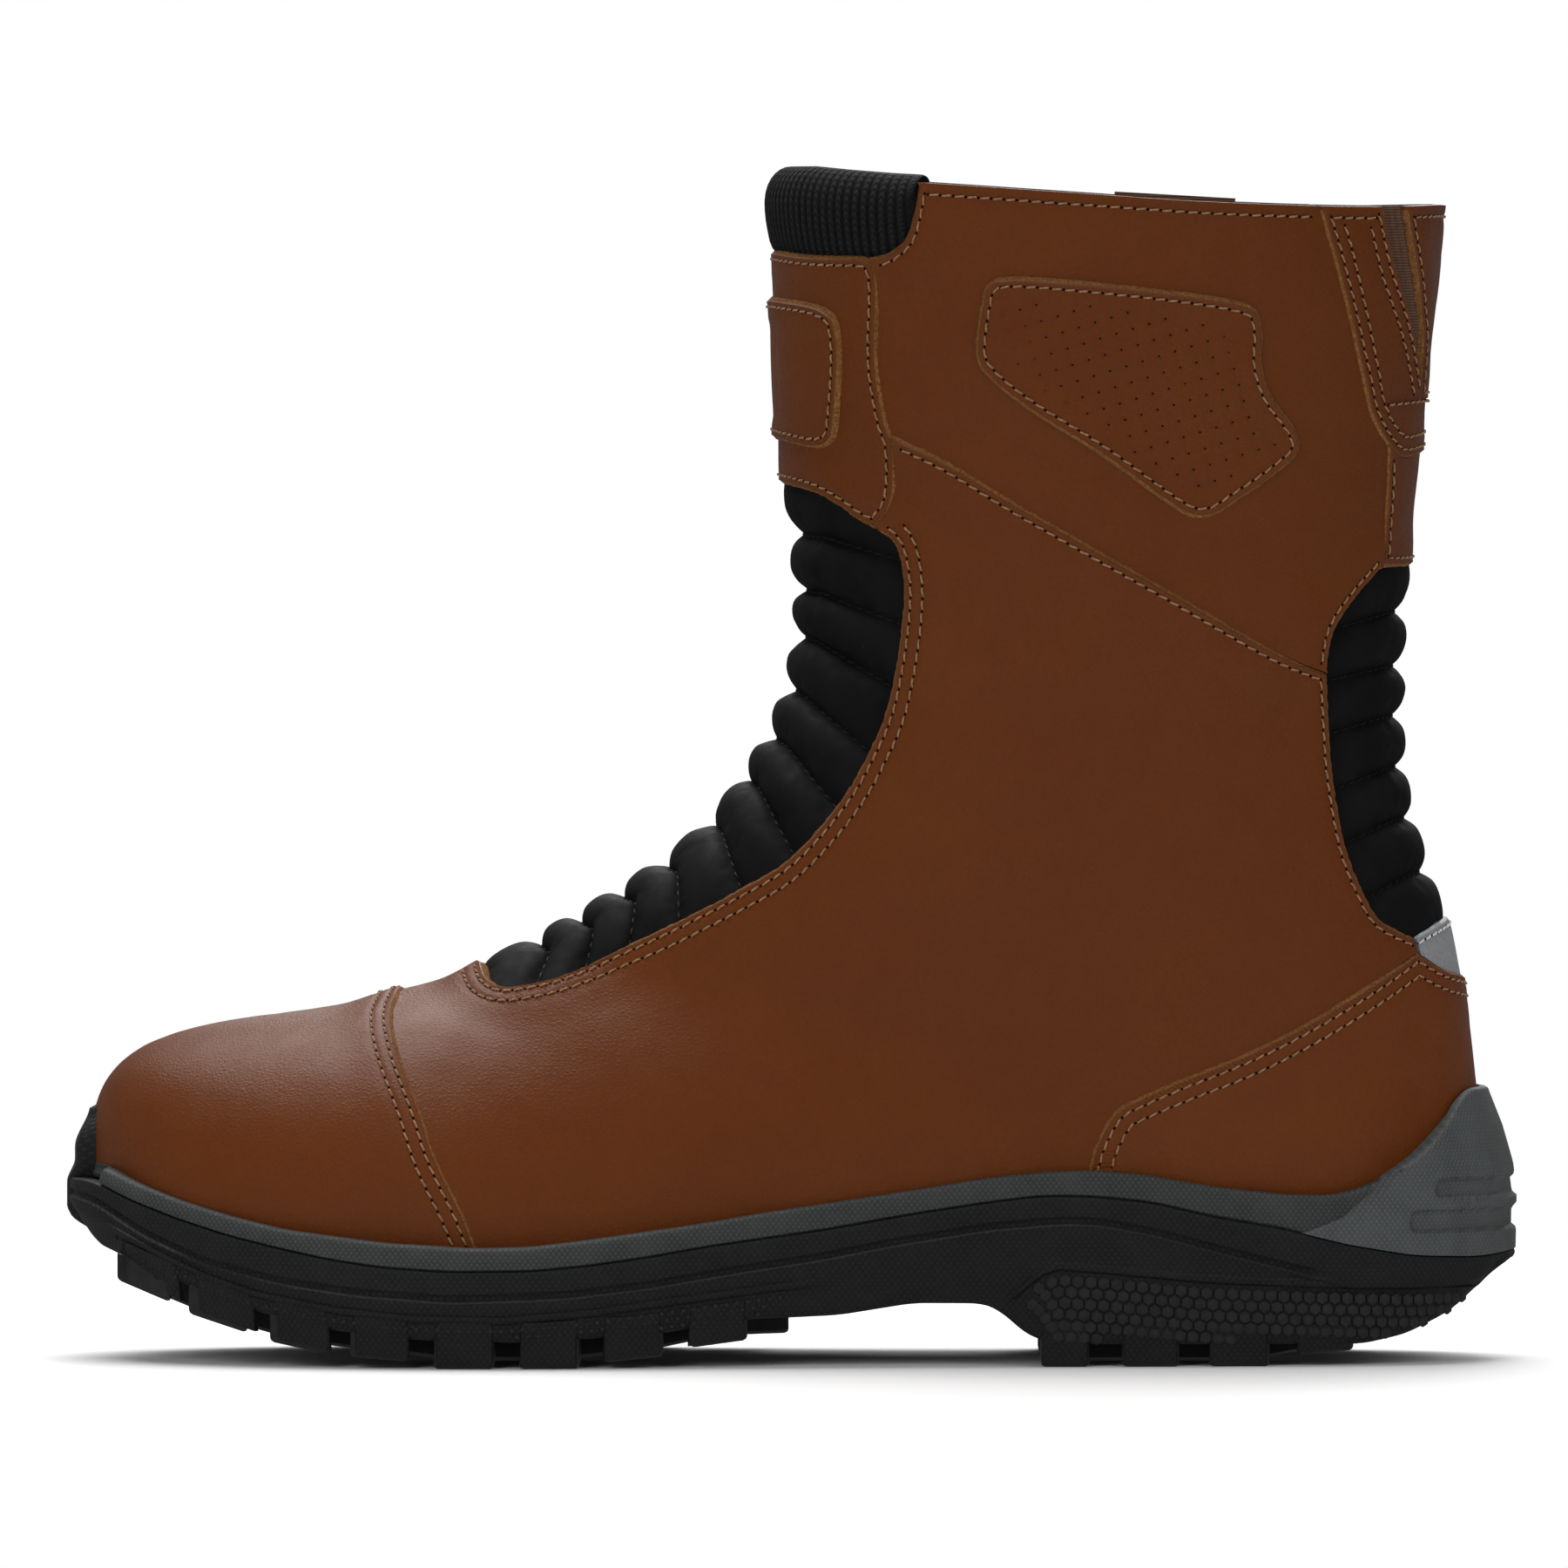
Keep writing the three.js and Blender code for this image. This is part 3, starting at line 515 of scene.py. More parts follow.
def open_edges(faces, count):
    """The edges of a sheet that belong to one triangle only."""
    sides = np.vstack([faces[:, [0, 1]], faces[:, [1, 2]], faces[:, [2, 0]]])
    keys = np.sort(sides, axis=1)
    _, first, times = np.unique(keys[:, 0] * count + keys[:, 1], return_index=True, return_counts=True)
    return sides[first[times == 1]]


def sew(runs, lift=0.0, rise=0.9, thickness=LEATHER_THICKNESS, spacing=2.2, relief=None, skive=0.55,
        flap=13.0):
    """Cuts a panel to its outline on the form and gives it a thickness, cut edges and stitches. It stands
    higher along its cut edges, where it lies on its neighbour, over the width of the flap. relief adds to
    the height at places and points on the panel."""
    shape = Shape()
    runs = [{**run, "uw": even_run(run["uw"], run["step"])} for run in runs]
    loop, free, inward = panel_outline(runs)
    points = on_form(loop)
    cut = points[free > 0]
    rows = stitch_rows(runs, loop, points)
    sewn_at = {}
    for row, path in rows:
        sewn_at[row] = np.vstack([sewn_at.get(row, np.zeros((0, 3))), on_form(path)])

    def height(places, spots):
        away, _ = nearest(spots, cut)
        up = lift + rise * (1 - ease(away / flap)) - .32 * (away < .75)
        for row_points in sewn_at.values():
            up = up - .26 * bell(nearest(spots, row_points)[0], .55)
        return up if relief is None else up + relief(places, spots)

    flat = to_pattern(walk(loop, inward, skive * free))
    places, faces = fill(flat, points, dent_lines(runs, loop, points), spacing)
    spots = on_form(places)
    up = height(places, spots)
    top = on_form(places, up)
    rim = open_edges(faces, len(places))
    rim_points = np.unique(rim)
    _, owner = nearest(spots[rim_points], points)
    loose = free[owner]
    frayed = FRAY * loose * ripple(spots[rim_points], 1.1, 3)
    middle_places = walk(places[rim_points], -inward[owner], (skive * .75 + .25 + frayed) * loose)
    middle = on_form(middle_places, up[rim_points] - thickness * .35)
    foot_places = places.copy()
    foot_places[rim_points] = walk(places[rim_points], -inward[owner], (skive + .5) * loose)
    foot = on_form(foot_places, up - thickness)

    normal = look_up(OUTWARD, places[faces[:1, 0]])[0]
    a, b, c = top[faces[0]]
    if np.cross(b - a, c - a) @ normal < 0:
        faces, rim = faces[:, ::-1], rim[:, ::-1]
    worn = bell(nearest(spots, cut)[0], 1.6) if len(cut) else 0.0
    unrolled = to_pattern(places)
    m = len(rim_points)
    where = np.zeros(len(top), int)
    where[rim_points] = np.arange(m)
    shape.add(top, faces, FACE, unrolled, worn)
    base = shape.count
    shape.add(np.vstack([top[rim_points], middle, foot[rim_points]]), [], RAW,
              np.vstack([unrolled[rim_points]] * 3))
    band = where[rim]
    upper = np.stack([band[:, 1], band[:, 0], band[:, 0] + m, band[:, 1] + m], axis=1)
    kinds = np.where(free[nearest(spots[rim[:, 0]], points)[1]] > 0, RAW, FACE)
    for quads in (upper, upper + m):
        shape.faces += (quads + base).tolist()
        shape.kinds += kinds.tolist()
    shape.add(foot, faces[:, ::-1], RAW, unrolled)
    for _, path in rows:
        stitches(shape, path, lambda line: height(line, on_form(line)) + .05)
    return shape


# ---------------------------------------------------------------- materials

WAVE_PITCH = 0.3142  # pitch of a wave texture whose scale is 1


class Finish:
    """A material's nodes. Places in a pattern are in mm: solid ones move with the piece, and flat ones
    follow its unrolled surface."""

    def __init__(self, name, **look):
        self.material = bpy.data.materials.new(name)
        self.material.use_nodes = True
        self.tree = self.material.node_tree
        self.shader = self.tree.nodes["Principled BSDF"]
        for socket, value in look.items():
            self.shader.inputs[socket.replace("_", " ")].default_value = value
        self.height = None

    def node(self, kind, inputs=(), **settings):
        """A new node, with each input linked or set."""
        node = self.tree.nodes.new(kind)
        for key, value in settings.items():
            setattr(node, key, value)
        for key, value in dict(inputs).items():
            socket = node.inputs[key]
            if isinstance(value, bpy.types.NodeSocket):
                self.tree.links.new(value, socket)
            else:
                socket.default_value = value
        return node

    def solid(self, stretch=(1, 1, 1)):
        """Places in the piece, in mm."""
        place = self.node("ShaderNodeTexCoord").outputs["Object"]
        scale = [s / MM for s in stretch]
        return self.node("ShaderNodeMapping", {"Vector": place, "Scale": scale}).outputs["Vector"]

    def flat(self, turn=0.0):
        """Places on the unrolled surface in mm, turned by some degrees."""
        place = self.node("ShaderNodeUVMap", uv_map="flat_mm").outputs["UV"]
        turned = {"Vector": place, "Rotation": (0, 0, math.radians(turn))}
        return self.node("ShaderNodeMapping", turned).outputs["Vector"]

    def noise(self, place, size, detail=3.0, roughness=0.55, distortion=0.0):
        settings = {"Vector": place, "Scale": 1 / size, "Detail": detail, "Roughness": roughness,
                    "Distortion": distortion}
        return self.node("ShaderNodeTexNoise", settings).outputs["Fac"]

    def cells(self, place, size, feature="F1"):
        node = self.node("ShaderNodeTexVoronoi", {"Vector": place, "Scale": 1 / size}, feature=feature)
        return node.outputs["Distance"]

    def waves(self, place, pitch, direction="X"):
        settings = {"Vector": place, "Scale": WAVE_PITCH / pitch}
        return self.node("ShaderNodeTexWave", settings, bands_direction=direction).outputs["Fac"]

    def sums(self, kind, a, b=0.0, c=0.0):
        return self.node("ShaderNodeMath", {0: a, 1: b, 2: c}, operation=kind).outputs["Value"]

    def fit(self, value, low, high, to_low=0.0, to_high=1.0):
        """A value from one range, brought to another and kept inside it."""
        limits = {"Value": value, "From Min": low, "From Max": high, "To Min": to_low, "To Max": to_high}
        return self.node("ShaderNodeMapRange", limits).outputs["Result"]

    def blend(self, share, a, b):
        """A colour between a and b."""
        node = self.node("ShaderNodeMix", data_type="RGBA")
        for socket, value in ((node.inputs[0], share), (node.inputs[6], a), (node.inputs[7], b)):
            if isinstance(value, bpy.types.NodeSocket):
                self.tree.links.new(value, socket)
            elif isinstance(value, (int, float)):
                socket.default_value = value
            else:
                socket.default_value = (*value, 1)
        return node.outputs[2]

    def worn(self):
        """The wear stored on the points of the piece, from 0 to 1."""
        return self.node("ShaderNodeAttribute", attribute_name="worn").outputs["Fac"]

    def set(self, socket, value):
        self.tree.links.new(value, self.shader.inputs[socket])

    def bump(self, height, depth, strength=1.0):
        """Adds relief of a depth in mm to what the surface already has."""
        inputs = {"Height": height, "Distance": depth * MM, "Strength": strength}
        if self.height is not None:
            inputs["Normal"] = self.height
        self.height = self.node("ShaderNodeBump", inputs).outputs["Normal"]
        self.set("Normal", self.height)


def oiled_leather(name, tone=1.0):
    """Smooth waxed brown leather: softly clouded, finely grained, lighter where it is handled."""
    f = Finish(name, Specular_IOR_Level=0.28)
    place = f.solid()
    cloud = f.fit(f.noise(place, 46, 4, 0.6), .34, .68)
    mottle = f.fit(f.noise(place, 6, 5, 0.62, 0.3), .3, .72)
    grain = f.cells(place, 0.8)
    dark = np.array([.09, .0198, .0015]) * tone
    mid = np.array([.112, .0266, .0022]) * tone
    light = np.array([.15, .042, .006]) * tone
    colour = f.blend(cloud, dark * 1.15, mid)
    colour = f.blend(f.sums("MULTIPLY", mottle, .15), colour, light)
    colour = f.blend(f.fit(grain, .25, .75, 0, .2), colour, dark * .8)
    colour = f.blend(f.sums("MULTIPLY", f.worn(), .25), colour, (.15, .05, .013))
    f.set("Base Color", colour)
    rough = f.fit(f.noise(place, 10, 4, 0.6), .3, .7, .36, .46)
    f.set("Roughness", f.sums("ADD", rough, f.fit(grain, .2, .8, 0, .06)))
    f.bump(f.noise(place, 8, 4, .55, .4), .5, .16)
    f.bump(f.cells(place, 0.95, "DISTANCE_TO_EDGE"), .2, .6)
    f.bump(f.noise(place, .4, 3, .6), .12, .5)
    return f.material


def cut_edge(name):
    """The raw, fuzzy edge of the leather, in the colour of its flesh side."""
    f = Finish(name, Roughness=0.95, Specular_IOR_Level=0.15)
    place = f.solid()
    fibres = f.fit(f.noise(place, .55, 4, .7, .8), .3, .7)
    colour = f.blend(fibres, (.07, .026, .007), (.34, .155, .052))
    colour = f.blend(f.fit(f.noise(place, 4, 3), .35, .7, 0, .5), colour, (.13, .052, .016))
    f.set("Base Color", colour)
    f.bump(fibres, .25, .8)
    return f.material


def sewing_thread(name, dark, light):
    """Twisted thread."""
    f = Finish(name, Roughness=0.62, Specular_IOR_Level=0.3)
    place = f.solid()
    f.set("Base Color", f.blend(f.fit(f.noise(place, .5, 3, .6), .3, .7), dark, light))
    f.bump(f.waves(f.solid((1, .6, 1)), .42, "DIAGONAL"), .06, .7)
    return f.material


def hole_shade_finish(name):
    """Painted shade: the dark inside a needle hole or a perforation, laid on flat discs."""
    f = Finish(name, Roughness=0.95, Specular_IOR_Level=0.05)
    place = f.solid()
    f.set("Base Color", f.blend(f.noise(place, .4), (.004, .0022, .0015), (.014, .007, .004)))
    return f.material


def softshell(name):
    """Matt stretch fabric with a fine woven tooth and a little lint."""
    f = Finish(name, Specular_IOR_Level=0.08)
    place = f.solid()
    tone = f.fit(f.noise(place, 14, 3), .3, .7)
    colour = f.blend(tone, (.0048, .0048, .0049), (.0078, .0078, .008))
    lint = f.fit(f.cells(place, 5.5), .0, .045, 1, 0)
    colour = f.blend(f.sums("MULTIPLY", lint, .22), colour, (.12, .12, .125))
    f.set("Base Color", colour)
    f.set("Roughness", f.fit(f.noise(place, 3, 3), .3, .7, .6, .74))
    f.bump(f.noise(place, .28, 2, .5), .05, .55)
    f.bump(f.noise(place, 11, 2, .5), .4, .18)
    return f.material


def rib_knit(name):
    """Ribbed knit: each rib is a column of slanted loops that meet in a V. Its colour is darker in the
    valleys between ribs and loops, as painted shade.
    """
    f = Finish(name, Roughness=0.85, Specular_IOR_Level=0.2)
    place = f.node("ShaderNodeSeparateXYZ", {"Vector": f.flat()}).outputs
    slant = f.sums("PINGPONG", place["X"], RIB_PITCH / 2)
    along = f.sums("MULTIPLY_ADD", slant, 1.1, place["Y"])
    loops = f.fit(f.sums("SINE", f.sums("MULTIPLY", along, 2 * math.pi / LOOP_PITCH)), -1, 1)
    crest = f.fit(f.sums("COSINE", f.sums("MULTIPLY", place["X"], 2 * math.pi / RIB_PITCH)), -1, .4)
    knit = f.sums("MULTIPLY", f.fit(loops, 0, 1, .35, 1), crest)
    # Dark in the knit's valleys and light on its crests: painted shade.
    colour = f.blend(knit, (.0025, .0025, .0027), (.0165, .0165, .0172))
    f.set("Base Color", f.blend(f.fit(f.noise(f.solid(), 1.1), .3, .7, 0, .3), colour, (.007, .007, .007)))
    f.bump(knit, .5, .9)
    return f.material


def textured_rubber(name, dark, light, pitch, rough, depth):
    """Moulded rubber with a fine diamond grain and scuffed, duller patches."""
    f = Finish(name, Specular_IOR_Level=0.3)
    lines = [f.waves(f.flat(turn), pitch, "X") for turn in (38, -38)]
    weave = f.sums("MULTIPLY", *lines)
    dust = f.fit(f.noise(f.solid(), 8, 4, .6), .35, .7)
    colour = f.blend(f.fit(weave, .1, .8), dark, light)
    colour = f.blend(f.sums("MULTIPLY", dust, .25), colour, tuple(np.array(light) * 1.35))
    f.set("Base Color", colour)
    f.set("Roughness", f.fit(f.noise(f.solid(), 5, 3), .3, .7, rough, rough + .12))
    f.bump(weave, depth, .75)
    f.bump(f.noise(f.solid(), 1.6, 3), .05, .25)
    return f.material


def ribbed_elastic(name):
    """Woven elastic: pale cords that run up and down, with darker picks across."""
    f = Finish(name, Roughness=0.8, Specular_IOR_Level=0.2)
    picks = f.waves(f.solid(), .6, "Z")
    colour = f.blend(picks, (.062, .03, .018), (.155, .08, .05))
    colour = f.blend(f.fit(f.noise(f.solid(), 1.5, 3), .3, .7, 0, .45), colour, (.062, .03, .018))
    f.set("Base Color", colour)
    f.bump(picks, .12, .8)
    return f.material


def reflective_fabric(name):
    """Grey retroreflective tape: a sheet of tiny glass beads on fabric."""
    f = Finish(name, Metallic=0.25)
    place = f.solid()
    beads = f.cells(place, .32)
    f.set("Base Color", f.blend(f.fit(beads, .1, .7), (.37, .378, .39), (.235, .242, .255)))
    f.set("Roughness", f.fit(f.noise(place, 2.5, 3), .3, .7, .42, .58))
    f.bump(beads, .05, .5)
    return f.material


def spacer_mesh(name, dark, light):
    """Open knitted lining: small round holes in staggered rows."""
    f = Finish(name, Roughness=0.9, Specular_IOR_Level=0.1)
    holes = f.fit(f.cells(f.solid(), 1.7), .2, .42)
    f.set("Base Color", f.blend(holes, dark, light))
    f.bump(holes, .35, .9)
    f.bump(f.noise(f.solid(), .35, 2), .05, .5)
    return f.material


def plain_finish(name, dark, light, size, rough, depth=.08, metallic=0.0):
    """A plain material with mottling and a fine tooth of a given size."""
    f = Finish(name, Metallic=metallic)
    place = f.solid()
    f.set("Base Color", f.blend(f.fit(f.noise(place, size, 4, .6), .3, .7), dark, light))
    f.set("Roughness", f.fit(f.noise(place, size * 2.3, 3), .3, .7, rough, rough + .14))
    f.bump(f.noise(place, size * .4, 3), depth, .5)
    return f.material


def zip_weave(name):
    """Herringbone tape beside the zip's coils."""
    f = Finish(name, Roughness=0.82, Specular_IOR_Level=0.2)
    weave = f.sums("MULTIPLY", f.waves(f.solid(), .7, "X"), f.waves(f.solid(), .7, "Z"))
    f.set("Base Color", f.blend(weave, (.006, .0045, .0035), (.026, .018, .013)))
    f.bump(weave, .14, .8)
    return f.material


LEATHER = oiled_leather("leather_brown")
# The heel cover gets the same leather a tenth lighter: painted sheen.
SHEEN_LIT_HEEL_LEATHER = oiled_leather("leather_brown_heel_painted_sheen", 1.1)
RAW_EDGE = cut_edge("leather_cut_edge")
TAN_THREAD = sewing_thread("thread_tan", (.14, .07, .032), (.36, .205, .108))
BLACK_THREAD = sewing_thread("thread_black", (.0035, .0035, .0035), (.013, .013, .0135))
WHITE_THREAD = sewing_thread("thread_white", (.42, .42, .42), (.72, .72, .72))
PAINTED_HOLE_SHADE = hole_shade_finish("hole_shade_finish")
SOFTSHELL = softshell("softshell_black")
RIB_PITCH, LOOP_PITCH = 2.2, 1.5  # of the collar's knit
KNIT = rib_knit("knit_black")
GREY_RUBBER = textured_rubber("foxing_grey", (.026, .0275, .0272), (.05, .0525, .052), .95, .52, .12)
CUP_RUBBER = textured_rubber("foxing_grey_cup", (.05, .0545, .055), (.083, .089, .091), .95, .52, .12)
BLACK_RUBBER = textured_rubber("rubber_black", (.0085, .0085, .0089), (.0155, .0155, .016), 1.1, .46, .1)
# The tread's own black, a little lighter than the wall's; on the wall's small cells it is also a painted
# highlight.
TREAD_AND_CELL_HIGHLIGHT_RUBBER = plain_finish("rubber_black_tread", (.012, .012, .0124), (.0195, .0195, .02), 2.2, .5, .12)
ELASTIC = ribbed_elastic("elastic_brown")
REFLECTIVE = reflective_fabric("reflective_grey")
MESH = spacer_mesh("lining_mesh", (.004, .004, .004), (.022, .022, .023))
FOAM = plain_finish("foam_black", (.012, .012, .012), (.028, .028, .029), 1.4, .85)
BOARD = plain_finish("stiffener_board", (.32, .26, .18), (.5, .42, .31), 2.5, .8)
STEEL = plain_finish("steel_plain", (.36, .36, .37), (.5, .5, .51), 6, .3, .03, 1.0)
ZIP_TAPE = zip_weave("zip_textile")
ZIP_NYLON = plain_finish("zip_nylon", (.011, .008, .006), (.026, .018, .013), 1.2, .38, .04)
ZIP_METAL = plain_finish("zip_metal", (.1, .085, .07), (.2, .175, .15), 3, .3, .03, 1.0)


# ---------------------------------------------------------------- seams, as points (x, z) of the side view

COLLAR_SEAM = [(-3.6, 237.1), (4, 236.2), (13.6, 236), (19.4, 236.2), (24.2, 239.7), (25.6, 243.5),
               (27, 251.7)]
RIM = [(27, 251.8), (65.5, 249.2), (86.3, 247.8), (111.5, 246.8), (125, 246.6), (139.9, 246.9)]
TOE_CAP_EDGE = [(-83.1, 79.8), (-85.1, 75.2), (-84.1, 67.9), (-79.1, 54.6), (-75.7, 44.6), (-70, 33),
                (-66.4, 24)]
FLEX_EDGE = [
    (-65.8, 84.6), (-64.9, 81.9), (-62.2, 80.2), (-55.5, 80.8), (-44.8, 84.2), (-35.5, 88.8), (-23.5, 94.6),
    (-11.6, 100.9), (-0.9, 107.5), (10.4, 120.1), (15.8, 129.4), (20.4, 140.1), (23.3, 156), (23.8, 167.1),
    (21.8, 175.1), (17.7, 178.3),
]
SHIN_BOTTOM = [(17.7, 178.2), (14.4, 179.8), (11.3, 182.2), (5.7, 185.4), (0.4, 186.9), (-1.9, 187.4)]
SHIN_REAR = [(13.9, 236), (16.6, 235.4), (18.2, 232), (18.2, 212.6), (20.3, 200.7), (21.8, 196.4),
             (21.3, 183.1), (17.7, 178.2)]
SHAFT_SEAM = [(21.6, 198), (33.7, 192.1), (47.9, 183.5), (80, 165.2), (104, 151.4), (113.5, 147.4)]
REAR_FLEX_TOP = [(113.6, 147.3), (115.1, 156.2), (119.3, 162.6), (125.5, 169.8)]
REAR_FLEX_LOW = [(113.6, 147.3), (114.3, 134.1), (115.4, 122.6), (117.9, 109.8), (121.5, 100.5), (125, 94.8),
                 (132.9, 90.3)]
BACKSTAY_EDGE = [(126.9, 196.2), (126.6, 185), (125.6, 170.2)]
BACKSTAY_HEM = [(125.6, 169.9), (129, 169.7), (133, 169.7)]
GORE_COVER_EDGE = [(111.9, 246.8), (115.2, 235.2), (117.8, 225.3), (120.9, 211.7), (123, 202.3),
                   (126.2, 196.5), (129.8, 193), (135.4, 194.1)]
GORE_FRONT = [(125.6, 246.6), (128.3, 234.2), (131.9, 222.2), (133.5, 213.3), (134, 209)]
GORE_REAR = [(130.6, 246.7), (132.3, 236), (133.5, 229), (134.5, 216.9), (134, 209)]
STRIP_END = [(134, 209), (134, 205), (135.7, 205)]
HEEL_COVER_EDGE = [(60.8, 33), (63.2, 42.4), (64.7, 47.4), (68.9, 54.5), (74, 57.3), (82.5, 61), (96.8, 66.7),
                   (111, 73.8), (125.3, 82.4), (133, 87.6)]
HEEL_COVER_BACK = [(133, 87.6), (138.9, 83.8), (143.6, 82)]
TAB_TOP = [(132.9, 90.5), (136.4, 92.3), (140.4, 94.3)]
SHIN_PATCH = [(-5.1, 227.3), (6.1, 225.4), (9.2, 223.3), (10.3, 219.5), (10.6, 214), (9.7, 200.7), (9, 197),
              (6.4, 195.3), (-3, 196.9)]
SIDE_PATCH = [
    (43.8, 231.4), (48, 231.7), (94.7, 226.4), (98.4, 224.6), (99.6, 220), (99.5, 213.3), (101.4, 207),
    (107, 198.6), (107.3, 194.6), (102.1, 189.7), (94.7, 184.5), (89, 181), (85, 180.9), (81.1, 182.9),
    (65.5, 194.1), (49.9, 204), (42.4, 210), (39.6, 213.8), (39.3, 217.6), (40.3, 225.4), (41.5, 230),
]
ZIP_LINE = [(64, 76), (82, 243)]  # the middle of the zip, on the medial side
SLIT_HALF = 6  # half the gap between the leather edges beside the zip

# Where the sidewall of the sole starts on the leather
FOXING_TOP = [
    (-149, 41.8), (-141.9, 38.8), (-131, 35), (-120, 32), (-109, 29.5), (-98, 28.2), (-87, 26.9), (-76, 26.3),
    (-67.7, 25.8), (-55, 26.1), (-43, 27.5), (-30.6, 29.2), (-18, 31), (-5.8, 33.1), (6.5, 34.9),
    (25.9, 37.8), (41.7, 40.4), (54.8, 41.7), (64.7, 42), (75.3, 41), (89.6, 38.5), (103.9, 36.8),
    (114.6, 36.4), (121.7, 37.8), (127.5, 40.3), (132.4, 42.8), (136.5, 45.8), (141.7, 50.2), (146.7, 55.2),
    (148.6, 57.2),
]
HIDDEN_WIDTH = 7  # how far the leather runs down behind the sidewall


def tuck(x0, x1, side, round_back=False):
    """The lower edge of the leather behind the sidewall, from x0 to x1."""
    x = np.linspace(x0, x1, max(int(abs(x1 - x0) / 4), 2))
    top = np.interp(x, *np.array(FOXING_TOP).T)
    uw = find(np.stack([x, top - HIDDEN_WIDTH], axis=1), side)
    return uw + [0, 2] if round_back and side == OUTER else uw


def both(points, round_back=False):
    """One line traced on the outer and on the medial side."""
    return trace(points, OUTER, round_back=round_back), trace(points, MEDIAL)


def zip_x(z):
    """Where the middle of the zip is at a height."""
    (x0, z0), (x1, z1) = ZIP_LINE
    return x0 + (z - z0) * (x1 - x0) / (z1 - z0)


def zip_side(sign, top, bottom=72.0):
    """A long edge of the slit for the zip, from its top down, on its toe (-1) or heel (1) side."""
    z = np.linspace(top, bottom, 30)
    return even_run(find(np.stack([zip_x(z) + sign * SLIT_HALF, z], axis=1), MEDIAL), 1.5)


def across_both(outer, medial):
    """A line that goes in by the outer side and comes back by the medial one."""
    return np.vstack([outer, medial[::-1][1:]])


def part_of(line, low, high):
    """The stretch of a side-view line between two values of x."""
    line = smooth_line(line)
    return line[(line[:, 0] >= low) & (line[:, 0] <= high)]


def cut_at_zip(line, sign):
    """A side-view line as far as the slit for the zip, on its toe (-1) or heel (1) side."""
    line = smooth_line(line)
    return line[(line[:, 0] - zip_x(line[:, 1])) * sign > SLIT_HALF]


def creases(places, spots):
    """The soft unevenness of worn leather."""
    return .22 * ripple(spots, 17, 1) + .1 * ripple(spots, 6, 2)


# ---------------------------------------------------------------- leather pieces

def leather(shape, name, face=LEATHER):
    """A sewn leather piece, put on the boot."""
    return place(shape.make(name, [face, RAW_EDGE, TAN_THREAD, PAINTED_HOLE_SHADE]), "boot", "leather_brown", name)


def toe_cap():
    """The cap over the toe, with two rows of stitches along its edge."""
    outer, medial = both(TOE_CAP_EDGE)
    tip = np.array([[.997, w] for w in np.linspace(-.5, .5, 12)])
    lower = np.vstack([tuck(-67, -145, OUTER), tip, tuck(-145, -67, MEDIAL)])
    shape = sew([edge(np.vstack([medial[::-1], outer[1:]]), 2), seam(lower)], relief=creases)
    return leather(shape, "toe_cap")


def vamp_quarters():
    """The one large panel of the foot, from the toe cap round both sides to the heel."""
    flex, flex_medial = both(FLEX_EDGE)
    shin = smooth_line(SHIN_REAR)
    shin = shin[shin[:, 1] < 198.2][::-1]
    shin_outer, shin_medial = find(shin, OUTER), find(shin, MEDIAL)
    rear_outer, rear_medial = both(REAR_FLEX_LOW)
    toe_outer, toe_medial = both(TOE_CAP_EDGE)
    heel = smooth_line(HEEL_COVER_EDGE)[::-1]
    seam_front, seam_rear = cut_at_zip(SHAFT_SEAM, -1), cut_at_zip(SHAFT_SEAM, 1)
    slit_rear = zip_side(1, seam_rear[0][1])
    slit_front = zip_side(-1, seam_front[-1][1])[::-1]
    slit_foot = np.vstack([slit_rear[-1:], slit_front[:1]])
    runs = [
        edge(flex, 2), seam(shin_outer), edge(trace(SHAFT_SEAM, OUTER)), edge(rear_outer),
        seam(find(heel, OUTER)), seam(tuck(59, -66, OUTER)), seam(toe_outer[::-1]), seam(toe_medial),
        seam(tuck(-66, 59, MEDIAL)), seam(find(heel, MEDIAL)[::-1]), edge(rear_medial[::-1]),
        edge(find(seam_rear, MEDIAL)[::-1]), edge(slit_rear), seam(slit_foot), edge(slit_front),
        edge(find(seam_front, MEDIAL)[::-1]), seam(shin_medial[::-1]), edge(flex_medial[::-1], 2),
    ]
    shape = sew(runs, relief=creases)
    return leather(shape, "vamp_quarters")


MID_SHAFT = 70  # where the outline of the outer shaft panel starts and ends


